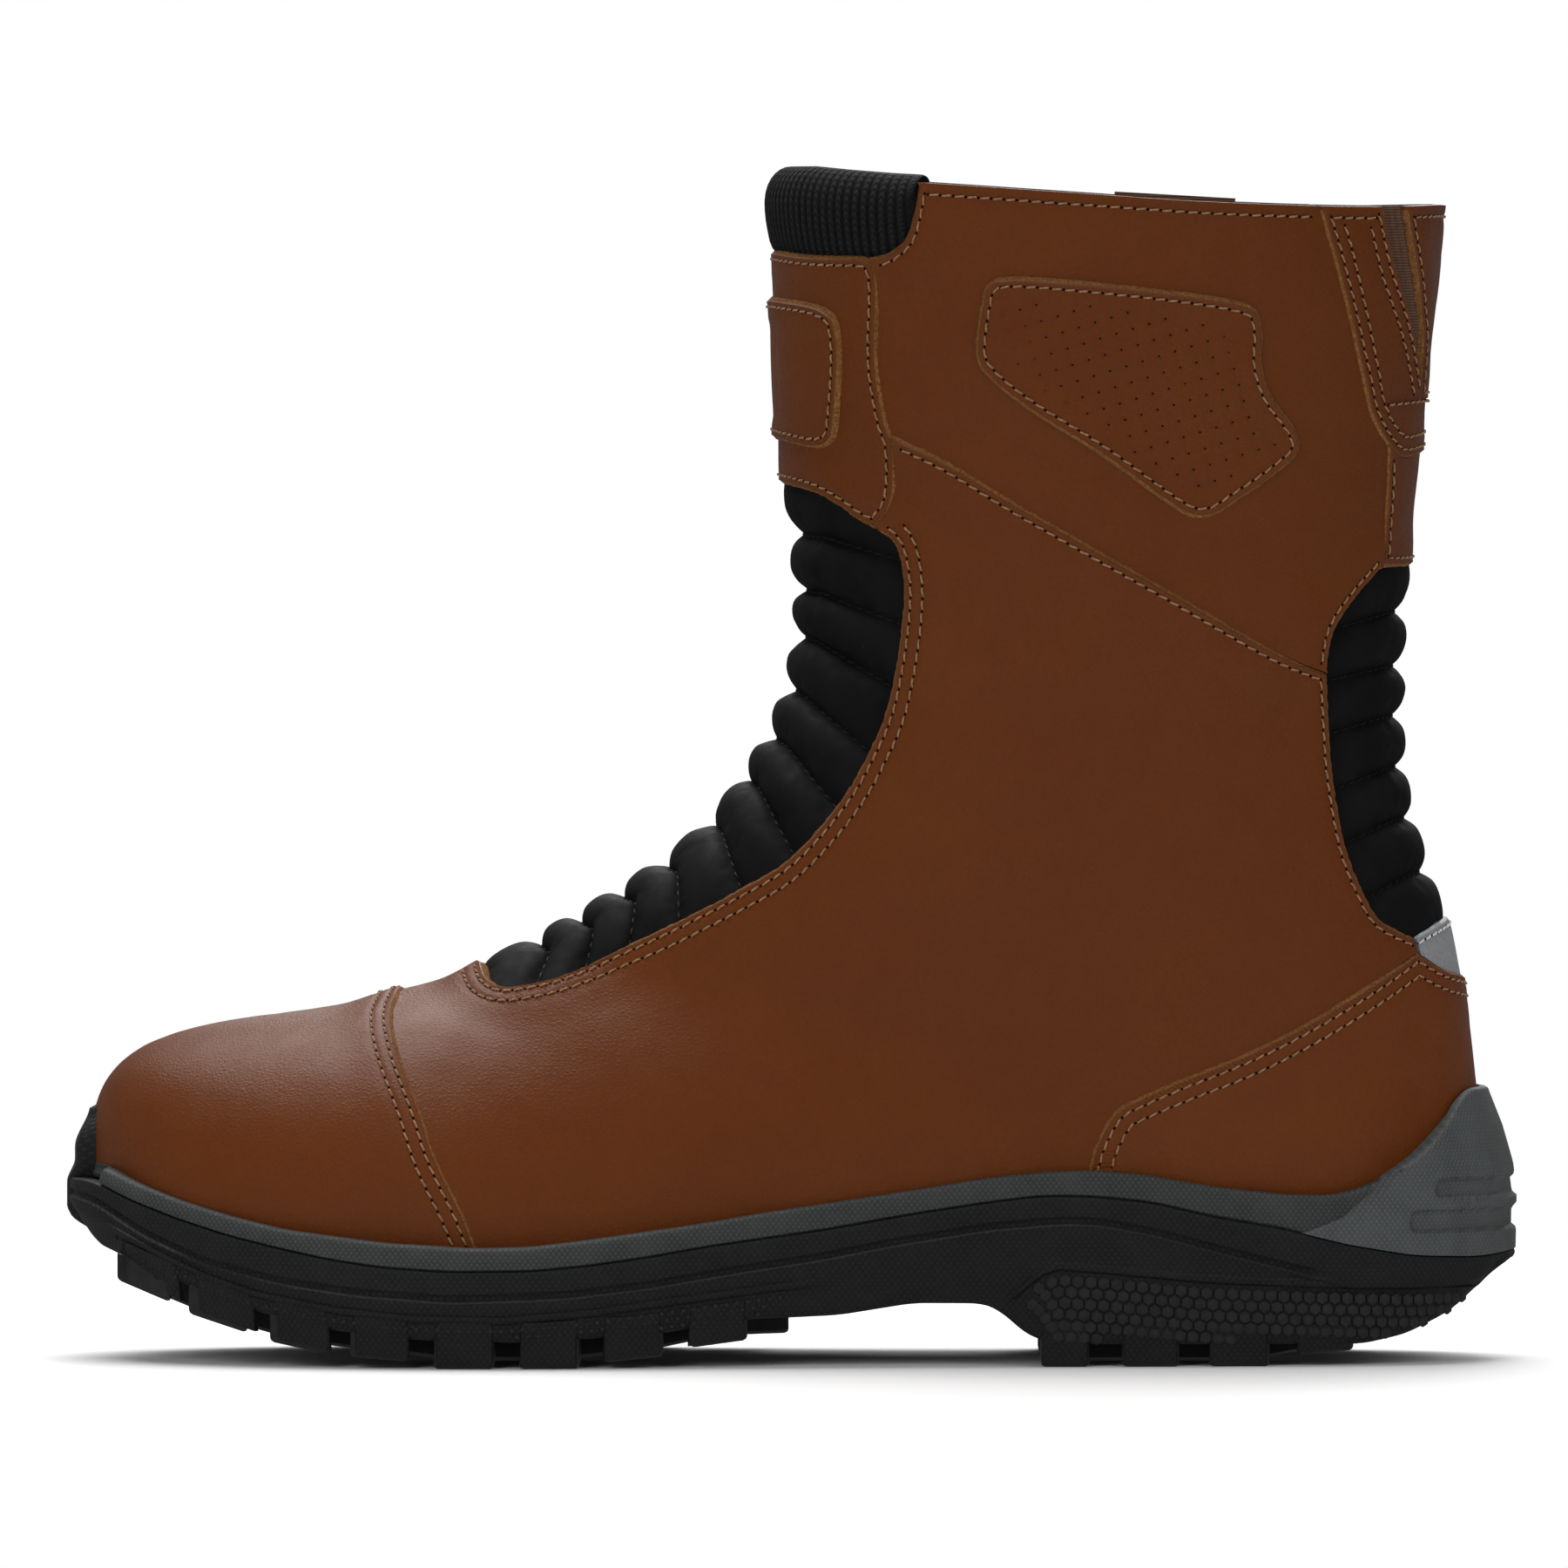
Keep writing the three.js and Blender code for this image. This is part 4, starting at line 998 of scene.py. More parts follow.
def shaft_panels():
    """The panel on the shaft's outer side, and the two beside the zip on its inner side."""
    collar = smooth_line(COLLAR_SEAM)
    collar = collar[collar[:, 0] > 16.4]
    shin = smooth_line(SHIN_REAR)
    shin = shin[(shin[:, 1] > 197.6) & (shin[:, 1] < 235.9)]
    rim = part_of(RIM, 26, 112)
    cover = smooth_line(GORE_COVER_EDGE)
    cover = cover[cover[:, 0] < 126.6]

    def sides(side, front_seam, rear_seam, front_rim, rear_rim):
        front = [seam(find(front_seam, side)[::-1]), seam(find(shin, side)[::-1]), edge(find(collar, side)),
                 hem(find(front_rim, side))]
        rear = [hem(find(rear_rim, side)), seam(find(cover, side)), seam(trace(BACKSTAY_EDGE, side)),
                edge(trace(REAR_FLEX_TOP[::-1], side)), seam(find(rear_seam, side)[::-1])]
        return front, rear

    whole_seam = smooth_line(SHAFT_SEAM)
    middle = np.argmin(np.abs(whole_seam[:, 0] - MID_SHAFT))
    cut = np.argmin(np.abs(rim[:, 0] - MID_SHAFT))
    front, rear = sides(OUTER, whole_seam[:middle + 1], whole_seam[middle:], rim[:cut + 1], rim[cut:])
    outer = sew(front + rear, relief=creases)
    leather(outer, "shaft_panel_outer")

    front, rear = sides(MEDIAL, cut_at_zip(SHAFT_SEAM, -1), cut_at_zip(SHAFT_SEAM, 1), cut_at_zip(rim, -1),
                        cut_at_zip(rim, 1))
    front.append(edge(zip_side(-1, 248.2, 175)))
    rear.append(edge(zip_side(1, 248, 165)[::-1]))
    for name, runs in (("shaft_panel_inner_front", front), ("shaft_panel_inner_rear", rear)):
        leather(sew(runs, relief=creases), name)


def shin_panel():
    """The panel over the shin, under the collar."""
    top, top_medial = both(part_of(COLLAR_SEAM, -4, 14))
    rear, rear_medial = both(SHIN_REAR)
    low, low_medial = both(SHIN_BOTTOM)
    runs = [edge(top), edge(rear), edge(across_both(low, low_medial)), edge(rear_medial[::-1]),
            edge(top_medial[::-1])]
    shape = sew(runs, relief=creases)
    return leather(shape, "shin_panel")


def shin_patch():
    """The patch on the shin, with a plain sunk field."""
    outer, medial = both(SHIN_PATCH)
    field_middle, field_half_width, field_half_height, slope = 211, 7.5, 11, 1.2

    def sunk(places, spots):
        from_side = field_half_width - np.abs(np.arctan2(spots[:, 1], 12) * 9)
        from_end = field_half_height - np.abs(spots[:, 2] - field_middle)
        return -.3 * ease(from_side / slope) * ease(from_end / slope)

    runs = [edge(across_both(outer, medial))]
    shape = sew(runs, lift=.9, rise=.5, spacing=1.3, relief=sunk, flap=6)
    return leather(shape, "shin_patch")


HOLE_PITCH, HOLE_SLOPE = 3.6, 17  # mm and degrees, of the square grid of perforations
SIDE_PATCH_MIDDLE = (73, 206)


def perforated_patch():
    """The patch on the outer side of the shaft, pierced in a sloping grid."""
    outline = smooth_line([*SIDE_PATCH, SIDE_PATCH[0]])
    steps = np.arange(-12, 13) * HOLE_PITCH
    across, up = np.meshgrid(steps, steps)
    slope = math.radians(HOLE_SLOPE)
    dots = np.column_stack([
        SIDE_PATCH_MIDDLE[0] + (across * math.cos(slope) - up * math.sin(slope)).ravel(),
        SIDE_PATCH_MIDDLE[1] + (across * math.sin(slope) + up * math.cos(slope)).ravel(),
    ])
    edge_gap = np.array([np.linalg.norm(outline - dot, axis=1).min() for dot in dots])
    dots = dots[inside(dots, outline) & (edge_gap > 4.6)]
    holes_at = find(dots, OUTER)
    holes = on_form(holes_at)

    def dimpled(places, spots):
        return .25 * ripple(spots, 15, 4) - .42 * bell(nearest(spots, holes)[0], .55)

    runs = [edge(find(outline, OUTER))]
    shape = sew(runs, lift=.85, rise=.55, spacing=.5, relief=dimpled, flap=6)
    # Each perforation also gets a flat dark disc in its dimple: painted shade.
    turn = circle(10)
    for spot, outward in zip(holes, look_up(OUTWARD, holes_at)):
        along = np.cross(outward, [0, 0, 1.0])
        up = np.cross(along, outward)
        ring = np.cos(turn)[:, None] * along + np.sin(turn)[:, None] * up
        shape.add(spot + outward * .62 + ring * .24, [list(range(10))], SHADE_DISC)
    return leather(shape, "perforated_patch")


def heel_cover():
    """The panel round the back of the heel."""
    outer, medial = both(HEEL_COVER_EDGE, True)
    outer_back, medial_back = both(HEEL_COVER_BACK, True)
    lower = np.vstack([tuck(60, 144, MEDIAL), [[find([(147.7, 50)], MEDIAL)[0][0], 1.0]],
                       tuck(144, 60, OUTER, True)])
    top = np.vstack([outer, outer_back[1:], medial_back[::-1][1:], medial[::-1][1:]])
    shape = sew([edge(top, 2), seam(lower)], relief=creases)
    # Its leather is the lighter copy: painted sheen.
    return leather(shape, "heel_cover", SHEEN_LIT_HEEL_LEATHER)


def reflective_tab():
    """The grey reflective tab at the top of the heel cover."""
    top, top_medial = both(TAB_TOP, True)
    low, low_medial = both(HEEL_COVER_BACK, True)
    runs = [{**edge(across_both(top, top_medial)), "rows": (1.2,)}, seam(across_both(low_medial, low))]
    shape = sew(runs, rise=.5, spacing=1.2, thickness=1.1, skive=.2)
    materials = [REFLECTIVE, REFLECTIVE, WHITE_THREAD, PAINTED_HOLE_SHADE]
    return place(shape.make("reflective_tab", materials), "boot", "reflective_grey", "reflective_tab")


def backstay():
    """The panel that covers the seam up the back of the shaft."""
    front, front_medial = both(BACKSTAY_EDGE, True)
    low, low_medial = both(BACKSTAY_HEM, True)
    top, top_medial = both(GORE_COVER_EDGE[5:], True)
    runs = [edge(front), edge(across_both(low, low_medial)), edge(front_medial[::-1]),
            seam(across_both(top_medial, top))]
    shape = sew(runs, relief=creases, rise=.7)
    return leather(shape, "backstay")


def gore_cover():
    """The V at the top of the back that holds the two elastic gores."""
    left, left_medial = both(GORE_COVER_EDGE, True)
    front, front_medial = both(GORE_FRONT, True)
    end, end_medial = both(STRIP_END, True)
    rim, rim_medial = both(part_of(RIM, 111.9, 125.7), True)
    runs = [edge(across_both(left, left_medial), 2), hem(rim_medial), edge(front_medial, 2),
            seam(across_both(end_medial, end)), edge(front[::-1], 2), hem(rim[::-1])]
    shape = sew(runs, relief=creases, rise=.8)
    row = both([(126.6, 204.4), (131, 204.8), (135.6, 205.2)], True)
    stitches(shape, across_both(*row), lambda line: np.full(len(line), .6))
    return leather(shape, "gore_cover")


def back_strip():
    """The leather wedge between the two elastic gores."""
    rear, rear_medial = both(GORE_REAR, True)
    end, end_medial = both(STRIP_END, True)
    rim, rim_medial = both(part_of(RIM, 130.6, 140), True)
    runs = [edge(rear), edge(across_both(end, end_medial)), edge(rear_medial[::-1]),
            hem(across_both(rim_medial, rim))]
    shape = sew(runs, relief=creases, rise=.6, spacing=1.6)
    return leather(shape, "back_strip")


def elastic_gores():
    """A wedge of ribbed elastic on each side of the back strip."""

    def ribs(places, spots):
        return .28 * np.cos(2 * np.pi * (spots[:, 0] + spots[:, 2] * .18) / 1.5)

    for name, side in (("elastic_gore_outer", OUTER), ("elastic_gore_inner", MEDIAL)):
        front = trace(GORE_FRONT, side, round_back=True)
        rear = trace(GORE_REAR, side, round_back=True)
        rim = find(part_of(RIM, 125.6, 130.7), side) + [0, 2 if side == OUTER else 0]
        runs = [seam(front), seam(rear[::-1]), seam(rim[::-1])]
        shape = sew(runs, lift=-.75, rise=0, thickness=.9, spacing=.42, relief=ribs)
        place(shape.make(name, [ELASTIC] * 4), "boot", "elastic_brown", name)


# ---------------------------------------------------------------- padded fabric

# The sewn valleys of the padded panels, from the silhouette to the leather's edge; the first and last
# lines of each panel lie hidden under the leather
FRONT_VALLEYS = [
    [(-1.6, 191), (20.6, 184)], [(2.8, 176.1), (23.3, 171)], [(2.4, 164.4), (23.3, 157.3)],
    [(1.4, 154.7), (20.5, 144.4)], [(-1.4, 143.9), (15.2, 131.1)], [(-4.9, 134.1), (9.1, 118.5)],
    [(-10.1, 125.3), (-.2, 108.8)], [(-17.4, 116.1), (-11.6, 101.8)], [(-26.2, 107.5), (-24.9, 95.5)],
    [(-34.7, 101), (-35.5, 89.5)], [(-43.5, 95.3), (-44.8, 84.5)], [(-52.6, 90.4), (-55.5, 81.2)],
    [(-67.5, 83.5), (-67.5, 79.5)],
]
REAR_VALLEYS = [
    [(132.6, 173.5), (125.4, 172.2)], [(130.4, 159.8), (119.4, 157.4)], [(129.8, 148.3), (114.3, 145.5)],
    [(129.7, 137.8), (114.7, 134.1)], [(130.7, 127.2), (115.8, 122.3)], [(131.8, 116.6), (118.6, 111.2)],
    [(135.3, 105.2), (122.5, 99.1)], [(141.5, 91.5), (133.5, 86.5)],
]
UNDER_LEATHER = 3.0  # how far a padded panel runs under the leather around it


def inflate(points, faces, pinned, pressure, cap, frames=16):
    """Blows a sewn sheet up as cloth, held at its pinned points, and returns its points and faces, once
    more subdivided. No point moves further than cap mm."""
    mesh = bpy.data.meshes.new("cloth")
    mesh.from_pydata((points * MM).tolist(), [], faces.tolist())
    cloth = bpy.data.objects.new("cloth", mesh)
    scene = bpy.context.scene
    scene.collection.objects.link(cloth)
    held = cloth.vertex_groups.new(name="sewn")
    held.add(np.flatnonzero(pinned).tolist(), 1.0, "REPLACE")
    modifier = cloth.modifiers.new("Cloth", "CLOTH")
    settings = modifier.settings
    settings.vertex_group_mass = "sewn"
    settings.quality = 6
    settings.mass = 0.15
    settings.tension_stiffness = settings.compression_stiffness = 12
    settings.shear_stiffness = 6
    settings.bending_stiffness = 1.5
    settings.shrink_min = -0.01
    settings.use_pressure = True
    settings.uniform_pressure_force = pressure
    settings.effector_weights.gravity = 0
    modifier.point_cache.frame_end = frames
    for number in range(1, frames + 1):
        scene.frame_set(number)
    drawn = cloth.evaluated_get(bpy.context.evaluated_depsgraph_get()).to_mesh()
    blown = np.array([v.co[:] for v in drawn.vertices]) / MM
    move = blown - points
    far = np.linalg.norm(move, axis=1, keepdims=True)
    moved = points + move * np.minimum(1, cap / np.maximum(far, 1e-6))
    cloth.modifiers.clear()
    scene.frame_set(1)
    mesh.vertices.foreach_set("co", (moved * MM).ravel())
    cloth.modifiers.new("finer", "SUBSURF").levels = 1
    bpy.context.view_layer.update()
    fine = cloth.evaluated_get(bpy.context.evaluated_depsgraph_get()).to_mesh()
    points = np.array([v.co[:] for v in fine.vertices]) / MM
    faces = [list(p.vertices) for p in fine.polygons]
    bpy.data.objects.remove(cloth)
    return points, faces


def sewn_line(ends, middle, spread):
    """Places along one valley, right across the panel from its outer to its medial edge."""
    start, end = np.array(ends, float)
    reach = end + (end - start) / np.linalg.norm(end - start) * UNDER_LEATHER
    seen = find([start + (reach - start) * t for t in np.linspace(0, 1, 14)], MEDIAL)
    seen[0, 1] = middle
    away = np.maximum.accumulate(np.abs(seen[:, 1] - middle))
    u = np.interp(np.abs(spread) * away[-1], away, seen[:, 0])
    w = middle + spread * away[-1] * (1 if middle == 0 else -1)
    return np.stack([u, w], axis=1)


def ribbed_panel(name, valleys, middle, depth, crown, columns, per_rib=10):
    """A padded panel sewn across into ribs: deep at the middle of the boot and shallower at its edges."""
    spread = np.linspace(-1, 1, columns)
    lines = [sewn_line(ends, middle, spread) for ends in valleys]
    share = (1 - np.cos(np.linspace(0, np.pi, per_rib + 1))) / 2
    low = -depth[0] + (depth[0] - depth[1]) * spread**2
    high = crown[0] + (crown[1] - crown[0]) * spread**4
    places, lifts, pinned = [], [], []
    for upper, lower in zip(lines[:-1], lines[1:]):
        for t in share[:-1]:
            places.append(upper * (1 - t) + lower * t)
            swell = (1 - abs(2 * t - 1) ** 2.3) ** .62
            lifts.append(low + (high - low) * swell * .93)
            pinned.append(np.full(columns, t == 0) | (np.abs(spread) > .985))
    places.append(lines[-1])
    lifts.append(lifts[0])
    pinned.append(np.full(columns, True))
    rows = len(places)
    places, lifts, pinned = np.vstack(places), np.concatenate(lifts), np.concatenate(pinned)
    faces = grid_faces(rows, columns)
    points = on_form(places, lifts)
    a, b, _, d = points[faces[0]]
    turned = np.cross(b - a, d - a) @ look_up(OUTWARD, places[:1])[0] < 0
    faces = faces[:, ::-1] if turned else faces
    shape = Shape()
    blown, fine = inflate(points, faces, pinned, pressure=3.0, cap=0.55)
    shape.add(blown, fine)
    back = on_form(places, -4.7)
    index = np.arange(rows * columns).reshape(rows, columns)
    border = np.concatenate([index[0], index[1:, -1], index[-1, -2::-1], index[-2:0:-1, 0]])
    shape.add(back, faces[:, ::-1])
    n = len(border)
    wall = [[k, (k + 1) % n, n + (k + 1) % n, n + k] for k in range(n)]
    wall = wall if turned else [face[::-1] for face in wall]
    shape.add(np.vstack([points[border], back[border]]), wall)
    shown = np.abs(spread) < .96
    for line in lines[1:-1]:
        line = line[shown]
        order = np.argsort(line[:, 1])
        w, depths = line[order, 1], low[shown][order]
        # Kind 2 is the flat dark disc painted as the shade of each needle hole.
        stitches(shape, line, lambda at, w=w, h=depths: np.interp(at[:, 1], w, h) + .12, 2.9, .24, (1, 2))
    piece = shape.make(name, [SOFTSHELL, BLACK_THREAD, PAINTED_HOLE_SHADE], 75)
    place(piece, "boot", "softshell_black", name)


def places_at_height(w, z):
    """Places on the shaft at columns w and heights z."""
    out = []
    for column, height_wanted in zip(w, z):
        u = np.linspace(0, .5, 200)
        heights = look_up(FORM, np.stack([u, np.full(200, column)], axis=1))[:, 2]
        out.append([np.interp(-height_wanted, -heights, u), column])
    return np.array(out)


def knit_collar():
    """A padded roll of ribbed knit over the front of the rim."""
    end = find([(26.9, 251.4)], MEDIAL)[0]
    length = end[1] * GIRTH[10] / 2
    w = np.linspace(-end[1], end[1], int(2 * length / .45))
    seam_line = smooth_line(COLLAR_SEAM)
    crown_line = [(-6, 255.2), (2.1, 255.2), (10, 254.4), (20, 253.6), (27, 253.2)]
    x = look_up(FORM, np.stack([np.full(len(w), .03), w], axis=1))[:, 0]
    low = np.interp(x, seam_line[:, 0], seam_line[:, 1])
    high = np.interp(x, *np.array(crown_line).T)
    gap = high - low
    half = np.minimum(7.4, gap * .42 + .5)
    full = ease((gap - 3) / 9)
    bulge = .75 + 1.35 * full
    thick = 3.3 + 2.1 * full
    profile = [(-2.5, -1.6), (-.6, -.9), (.5, .1), (2.0, .75)]
    rows = [(low + dz, np.full(len(w), lift)) for dz, lift in profile]
    for t in (.25, .5, .75, .92):
        rows.append((low + 2 + (gap - 2 - half) * t, .75 + (bulge - .75) * np.sin(np.pi / 2 * t)))
    for angle in np.linspace(0, np.pi, 15):
        rows.append((high - half + half * np.sin(angle), bulge - thick + thick * np.cos(angle)))
    for t in (.2, .5, .8, 1):
        inner = (bulge - 2 * thick) * (1 - t) - 5.9 * t
        rows.append((high - half - (gap - half + 7) * t, inner))
    rows.append((low - 7, np.full(len(w), -4)))
    rows.append((low - 2.5, np.full(len(w), -1.9)))
    arc = w * length / end[1]
    ribs = .42 * np.abs(np.cos(np.pi * arc / RIB_PITCH)) ** .7
    points, flat, height = [], [], 0.0
    for k, (z, lift) in enumerate(rows):
        lift = np.broadcast_to(lift, w.shape)
        if 0 < k < len(rows) - 2:
            lift = lift + (ribs - .2) * np.where(lift < -4, -1, 1)
        points.append(on_form(places_at_height(w, z), lift))
        if k:
            height += np.linalg.norm(points[k] - points[k - 1], axis=1).mean()
        flat.append(np.stack([arc, np.full(len(w), height)], axis=1))
    count = len(w)
    faces = skin_faces(len(rows), count)
    shape = Shape()
    points = np.vstack(points)
    a, b, _, d = points[[0, 1, 0, count]]
    outward = look_up(OUTWARD, places_at_height(w[:1], low[:1]))[0]
    if np.cross(b - a, d - a) @ outward < 0:
        faces = [face[::-1] for face in faces]
    shape.add(points, faces, 0, np.vstack(flat))
    piece = shape.make("knit_collar", [KNIT], 60)
    place(piece, "boot", "knit_black", "knit_collar")


def shaft_lining():
    """Spacer mesh inside the shaft, turned over the rim to meet the leather."""
    w = np.linspace(0, 2, 181)[:-1]
    x = look_up(FORM, np.stack([np.full(len(w), .03), w], axis=1))[:, 0]
    rim = np.interp(x, [r[0] for r in RIM], [r[1] for r in RIM])
    rim = np.where(x < 27, 243 + 8 * ease((x - 14) / 13), rim - .2)
    rows = [(128 + (rim - 133) * t, -6.4) for t in np.linspace(0, 1, 26)]
    for angle in np.linspace(0, np.pi, 9):
        rows.append((rim - 2.2 + 2.2 * np.sin(angle), -4.2 - 2.2 * np.cos(angle)))
    rows.append((rim - 12, -1.95))
    rows += [(rim - 15 + (143 - rim) * t, -5.1) for t in np.linspace(0, 1, 24)]
    points = np.vstack([on_form(places_at_height(w, z), lift) for z, lift in rows])
    flat = np.vstack([np.stack([w * GIRTH[100] / 2, np.broadcast_to(z, w.shape)], axis=1) for z, _ in rows])
    shape = Shape()
    shape.add(points, skin_faces(len(rows), len(w), closed=True), 0, flat)
    return place(shape.make("shaft_lining", [MESH], 60), "boot", "lining_mesh", "shaft_lining")


# ---------------------------------------------------------------- sole

# x, half width and middle y along the sole
SOLE_STATIONS = [
    (-155.2, .5, 8), (-153.5, 14, 8), (-148, 25, 8), (-138, 35, 7), (-122, 45, 5), (-104, 51.8, 2.5),
    (-84, 55.5, .5), (-62, 56, -.5), (-40, 53.4, -1), (-15, 49.2, -1.5), (12, 46.2, -1.5), (40, 45.2, -1),
    (68, 45, -.5), (95, 43.5, 0), (118, 40, 0), (135, 33.5, 0), (147, 22.5, 0), (153.2, 11.5, 0),
    (155, .5, 0),
]
WALL_TOP = [(-156, 42), *FOXING_TOP, (150, 57.6), (156, 57.6)]
WALL_MIDDLE = [  # where the grey rubber meets the black
    (-156, 38.8), (-150, 38.8), (-142, 35), (-131, 31.1), (-120, 27.9), (-109, 25.4), (-98, 23.2),
    (-87, 21.7), (-72.5, 20.8), (-55, 21), (-43, 22.1), (-30.6, 23.8), (-18, 26), (6.5, 29.4), (25.9, 32.8),
    (41.7, 35.2), (52.2, 36.5), (60, 36.6), (67.9, 36.1), (76.7, 35.1), (89.6, 32.1), (103.9, 29.6),
    (118.2, 26), (132.4, 23.5), (146.7, 22.8), (156, 23.9),
]
GROOVE = [  # the line moulded along the black wall
    (-156, 36), (-149, 34.5), (-139, 28.4), (-125.5, 22.4), (-109, 18.6), (-92.7, 16.4), (-72.5, 15),
    (-49, 15.8), (-30.5, 17.9), (-12, 21), (6.5, 23.8), (20.7, 26.6), (41.7, 30), (57.4, 31.3), (65.2, 31.1),
    (77, 28.9),
    (92.3, 24.8), (107.7, 20.9), (117.9, 18.4), (156, 18),
]
FORE_BEAD = [  # the small raised line under the groove, before the arch and behind it
    (-156, 31.5), (-146, 29), (-136.5, 24.1), (-125.5, 19.1), (-114.6, 15.6), (-98, 12.6), (-81.7, 10.9),
    (-61.5, 10.5), (-43, 12), (-24.3, 14.5), (-5.8, 17), (6.6, 18.4),
]
HEEL_BEAD = [(44.3, 13.3), (48.9, 16.9), (53, 20.4), (56.6, 21.7), (66.8, 20.9), (87.2, 18.9), (107.7, 17.9),
             (132, 17), (156, 17.6)]
WALL_LOW = [  # the foot of the black wall
    (-156, 31), (-152.9, 25.1), (-144.7, 22), (-132, 17), (-116, 11.7), (-99, 8), (-82, 6.2), (-55, 5.5),
    (-27, 7.4), (-9.5, 10.2), (10.3, 11.1), (26, 13.6), (41, 13.5), (44, 12.2), (51, 6), (63, 4.8),
    (122.7, 4.6), (133, 6.6), (143.3, 11), (151.9, 18.4), (156, 22),
]
SOLE_LEAN = 3.4  # how far the wall leans in by its foot
# front x, rear x, bottom front z and bottom rear z of each row of lugs
LUGS = [
    (-144, -132.4, 17.5, 13.1), (-128.5, -115.9, 10.9, 7.1), (-111, -99.3, 5.4, 3.1),
    (-93.8, -81.7, 2.4, 1.5), (-76, -63.3, 0, 0), (-57.7, -45.1, 0, 0), (-39.7, -27.4, 1.2, 2.5),
    (-21.6, -9.5, 4.3, 5.9), (53, 63.2, 0, 0), (70.4, 82.4, 0, 0), (89, 101.6, 0, 0), (108, 119.5, 2.4, 3.3),
]
LUG_PITCH = 17.6
CHANNEL, CHANNEL_HALF = 17, 2.5  # the two channels along the tread
CUP_FRONT = (108.5, 129.5)  # where the heel cup starts at the foot and at the top of the grey wall
SLOTS = [(138.4, 37.5, 1.9), (133, 30.6, 2.2)]  # front x, middle z and half height of the cup's slots
TOE_EDGE = -148.6  # where the grey wall stops behind the bumper


def height_on(line, x, blur=2.5):
    """The height of a line along the sole, with its corners eased."""
    line = np.array(line)
    return sum(np.interp(x + d, *line.T) for d in (-blur, -blur / 2, 0, blur / 2, blur)) / 5


def sole_outline(count=560):
    """The sole seen from above, as a loop that starts at the toe and goes by the outer side to the heel."""
    even = np.linspace(0, 1, 400)
    at = (.4 * even + .3 * (1 - np.cos(even * np.pi))) * (len(SOLE_STATIONS) - 1)
    x, half, middle = curve_through(SOLE_STATIONS, at).T
    loop = np.concatenate([np.stack([x, middle - half], 1), np.stack([x, middle + half], 1)[::-1]])
    run = np.concatenate([[0], np.cumsum(np.linalg.norm(np.diff(loop, axis=0), axis=1))])
    stops = np.linspace(0, run[-1], count, endpoint=False)
    loop = np.stack([np.interp(stops, run, loop[:, k]) for k in range(2)], axis=1)
    for _ in range(8):
        loop = (np.roll(loop, 1, 0) + 2 * loop + np.roll(loop, -1, 0)) / 4
    ahead = np.roll(loop, -1, 0) - np.roll(loop, 1, 0)
    normal = np.stack([ahead[:, 1], -ahead[:, 0]], axis=1)
    return loop, normal / np.linalg.norm(normal, axis=1, keepdims=True), run[-1] / count


LOOP, LOOP_OUT, LOOP_STEP = sole_outline()
LOOP_OUT = LOOP_OUT if LOOP_OUT[len(LOOP) // 2][0] > 0 else -LOOP_OUT
HALF_LOOP = len(LOOP) // 2
ALL_ROUND = np.arange(len(LOOP), dtype=float)
FORM_TREE = BVHTree.FromPolygons(FORM[::2, ::2].reshape(-1, 3).tolist(),
                                 grid_faces(len(FORM[::2]), SPOTS // 2, closed=True).tolist())


def on_loop(s):
    """Points and outward directions of the outline at places s, counted in its steps."""
    s = np.mod(s, len(LOOP))
    i = s.astype(int)
    t = (s - i)[:, None]
    k = (i + 1) % len(LOOP)
    out = LOOP_OUT[i] * (1 - t) + LOOP_OUT[k] * t
    return LOOP[i] * (1 - t) + LOOP[k] * t, out / np.linalg.norm(out, axis=1, keepdims=True)


def wall_points(s, z, inset):
    """Points at heights z, inset mm in from the outline at places s."""
    spot, out = on_loop(s)
    spot = spot - out * np.broadcast_to(inset, (len(spot),))[:, None]
    return np.column_stack([spot, np.broadcast_to(z, (len(spot),))])


def lean(x, z):
    """How far the wall leans in at a height."""
    low, high = height_on(WALL_LOW, x), height_on(WALL_MIDDLE, x)
    return SOLE_LEAN * np.clip(((low + high) / 2 - z) / ((high - low) / 2), 0, 1)


def room_inside():
    """The distance from the outline in to the leather, all round."""
    gaps = []
    for (x, y), (nx, ny), top in zip(LOOP, LOOP_OUT, height_on(WALL_TOP, LOOP[:, 0])):
        hit = FORM_TREE.ray_cast(Vector((x + nx, y + ny, top - 1)), Vector((-nx, -ny, 0)))
        gaps.append(hit[3] - 1 if hit[0] is not None else 9)
    gaps = np.clip(gaps, 1.5, 12)
    for _ in range(10):
        gaps = (np.roll(gaps, 1) + 2 * gaps + np.roll(gaps, -1)) / 4
    return gaps


def add_rows(shape, s, rows, closed=True):
    """Skins rows of (height, inset) round the loop, and joins the last row to the first."""
    spots = [wall_points(s, z, inset) for z, inset in rows]
    flat = [np.stack([s * LOOP_STEP, np.broadcast_to(z, s.shape)], axis=1) for z, _ in rows]
    faces = [face[::-1] for face in skin_faces(len(rows), len(s), closed)]
    shape.add(np.vstack(spots), faces, 0, np.vstack(flat))


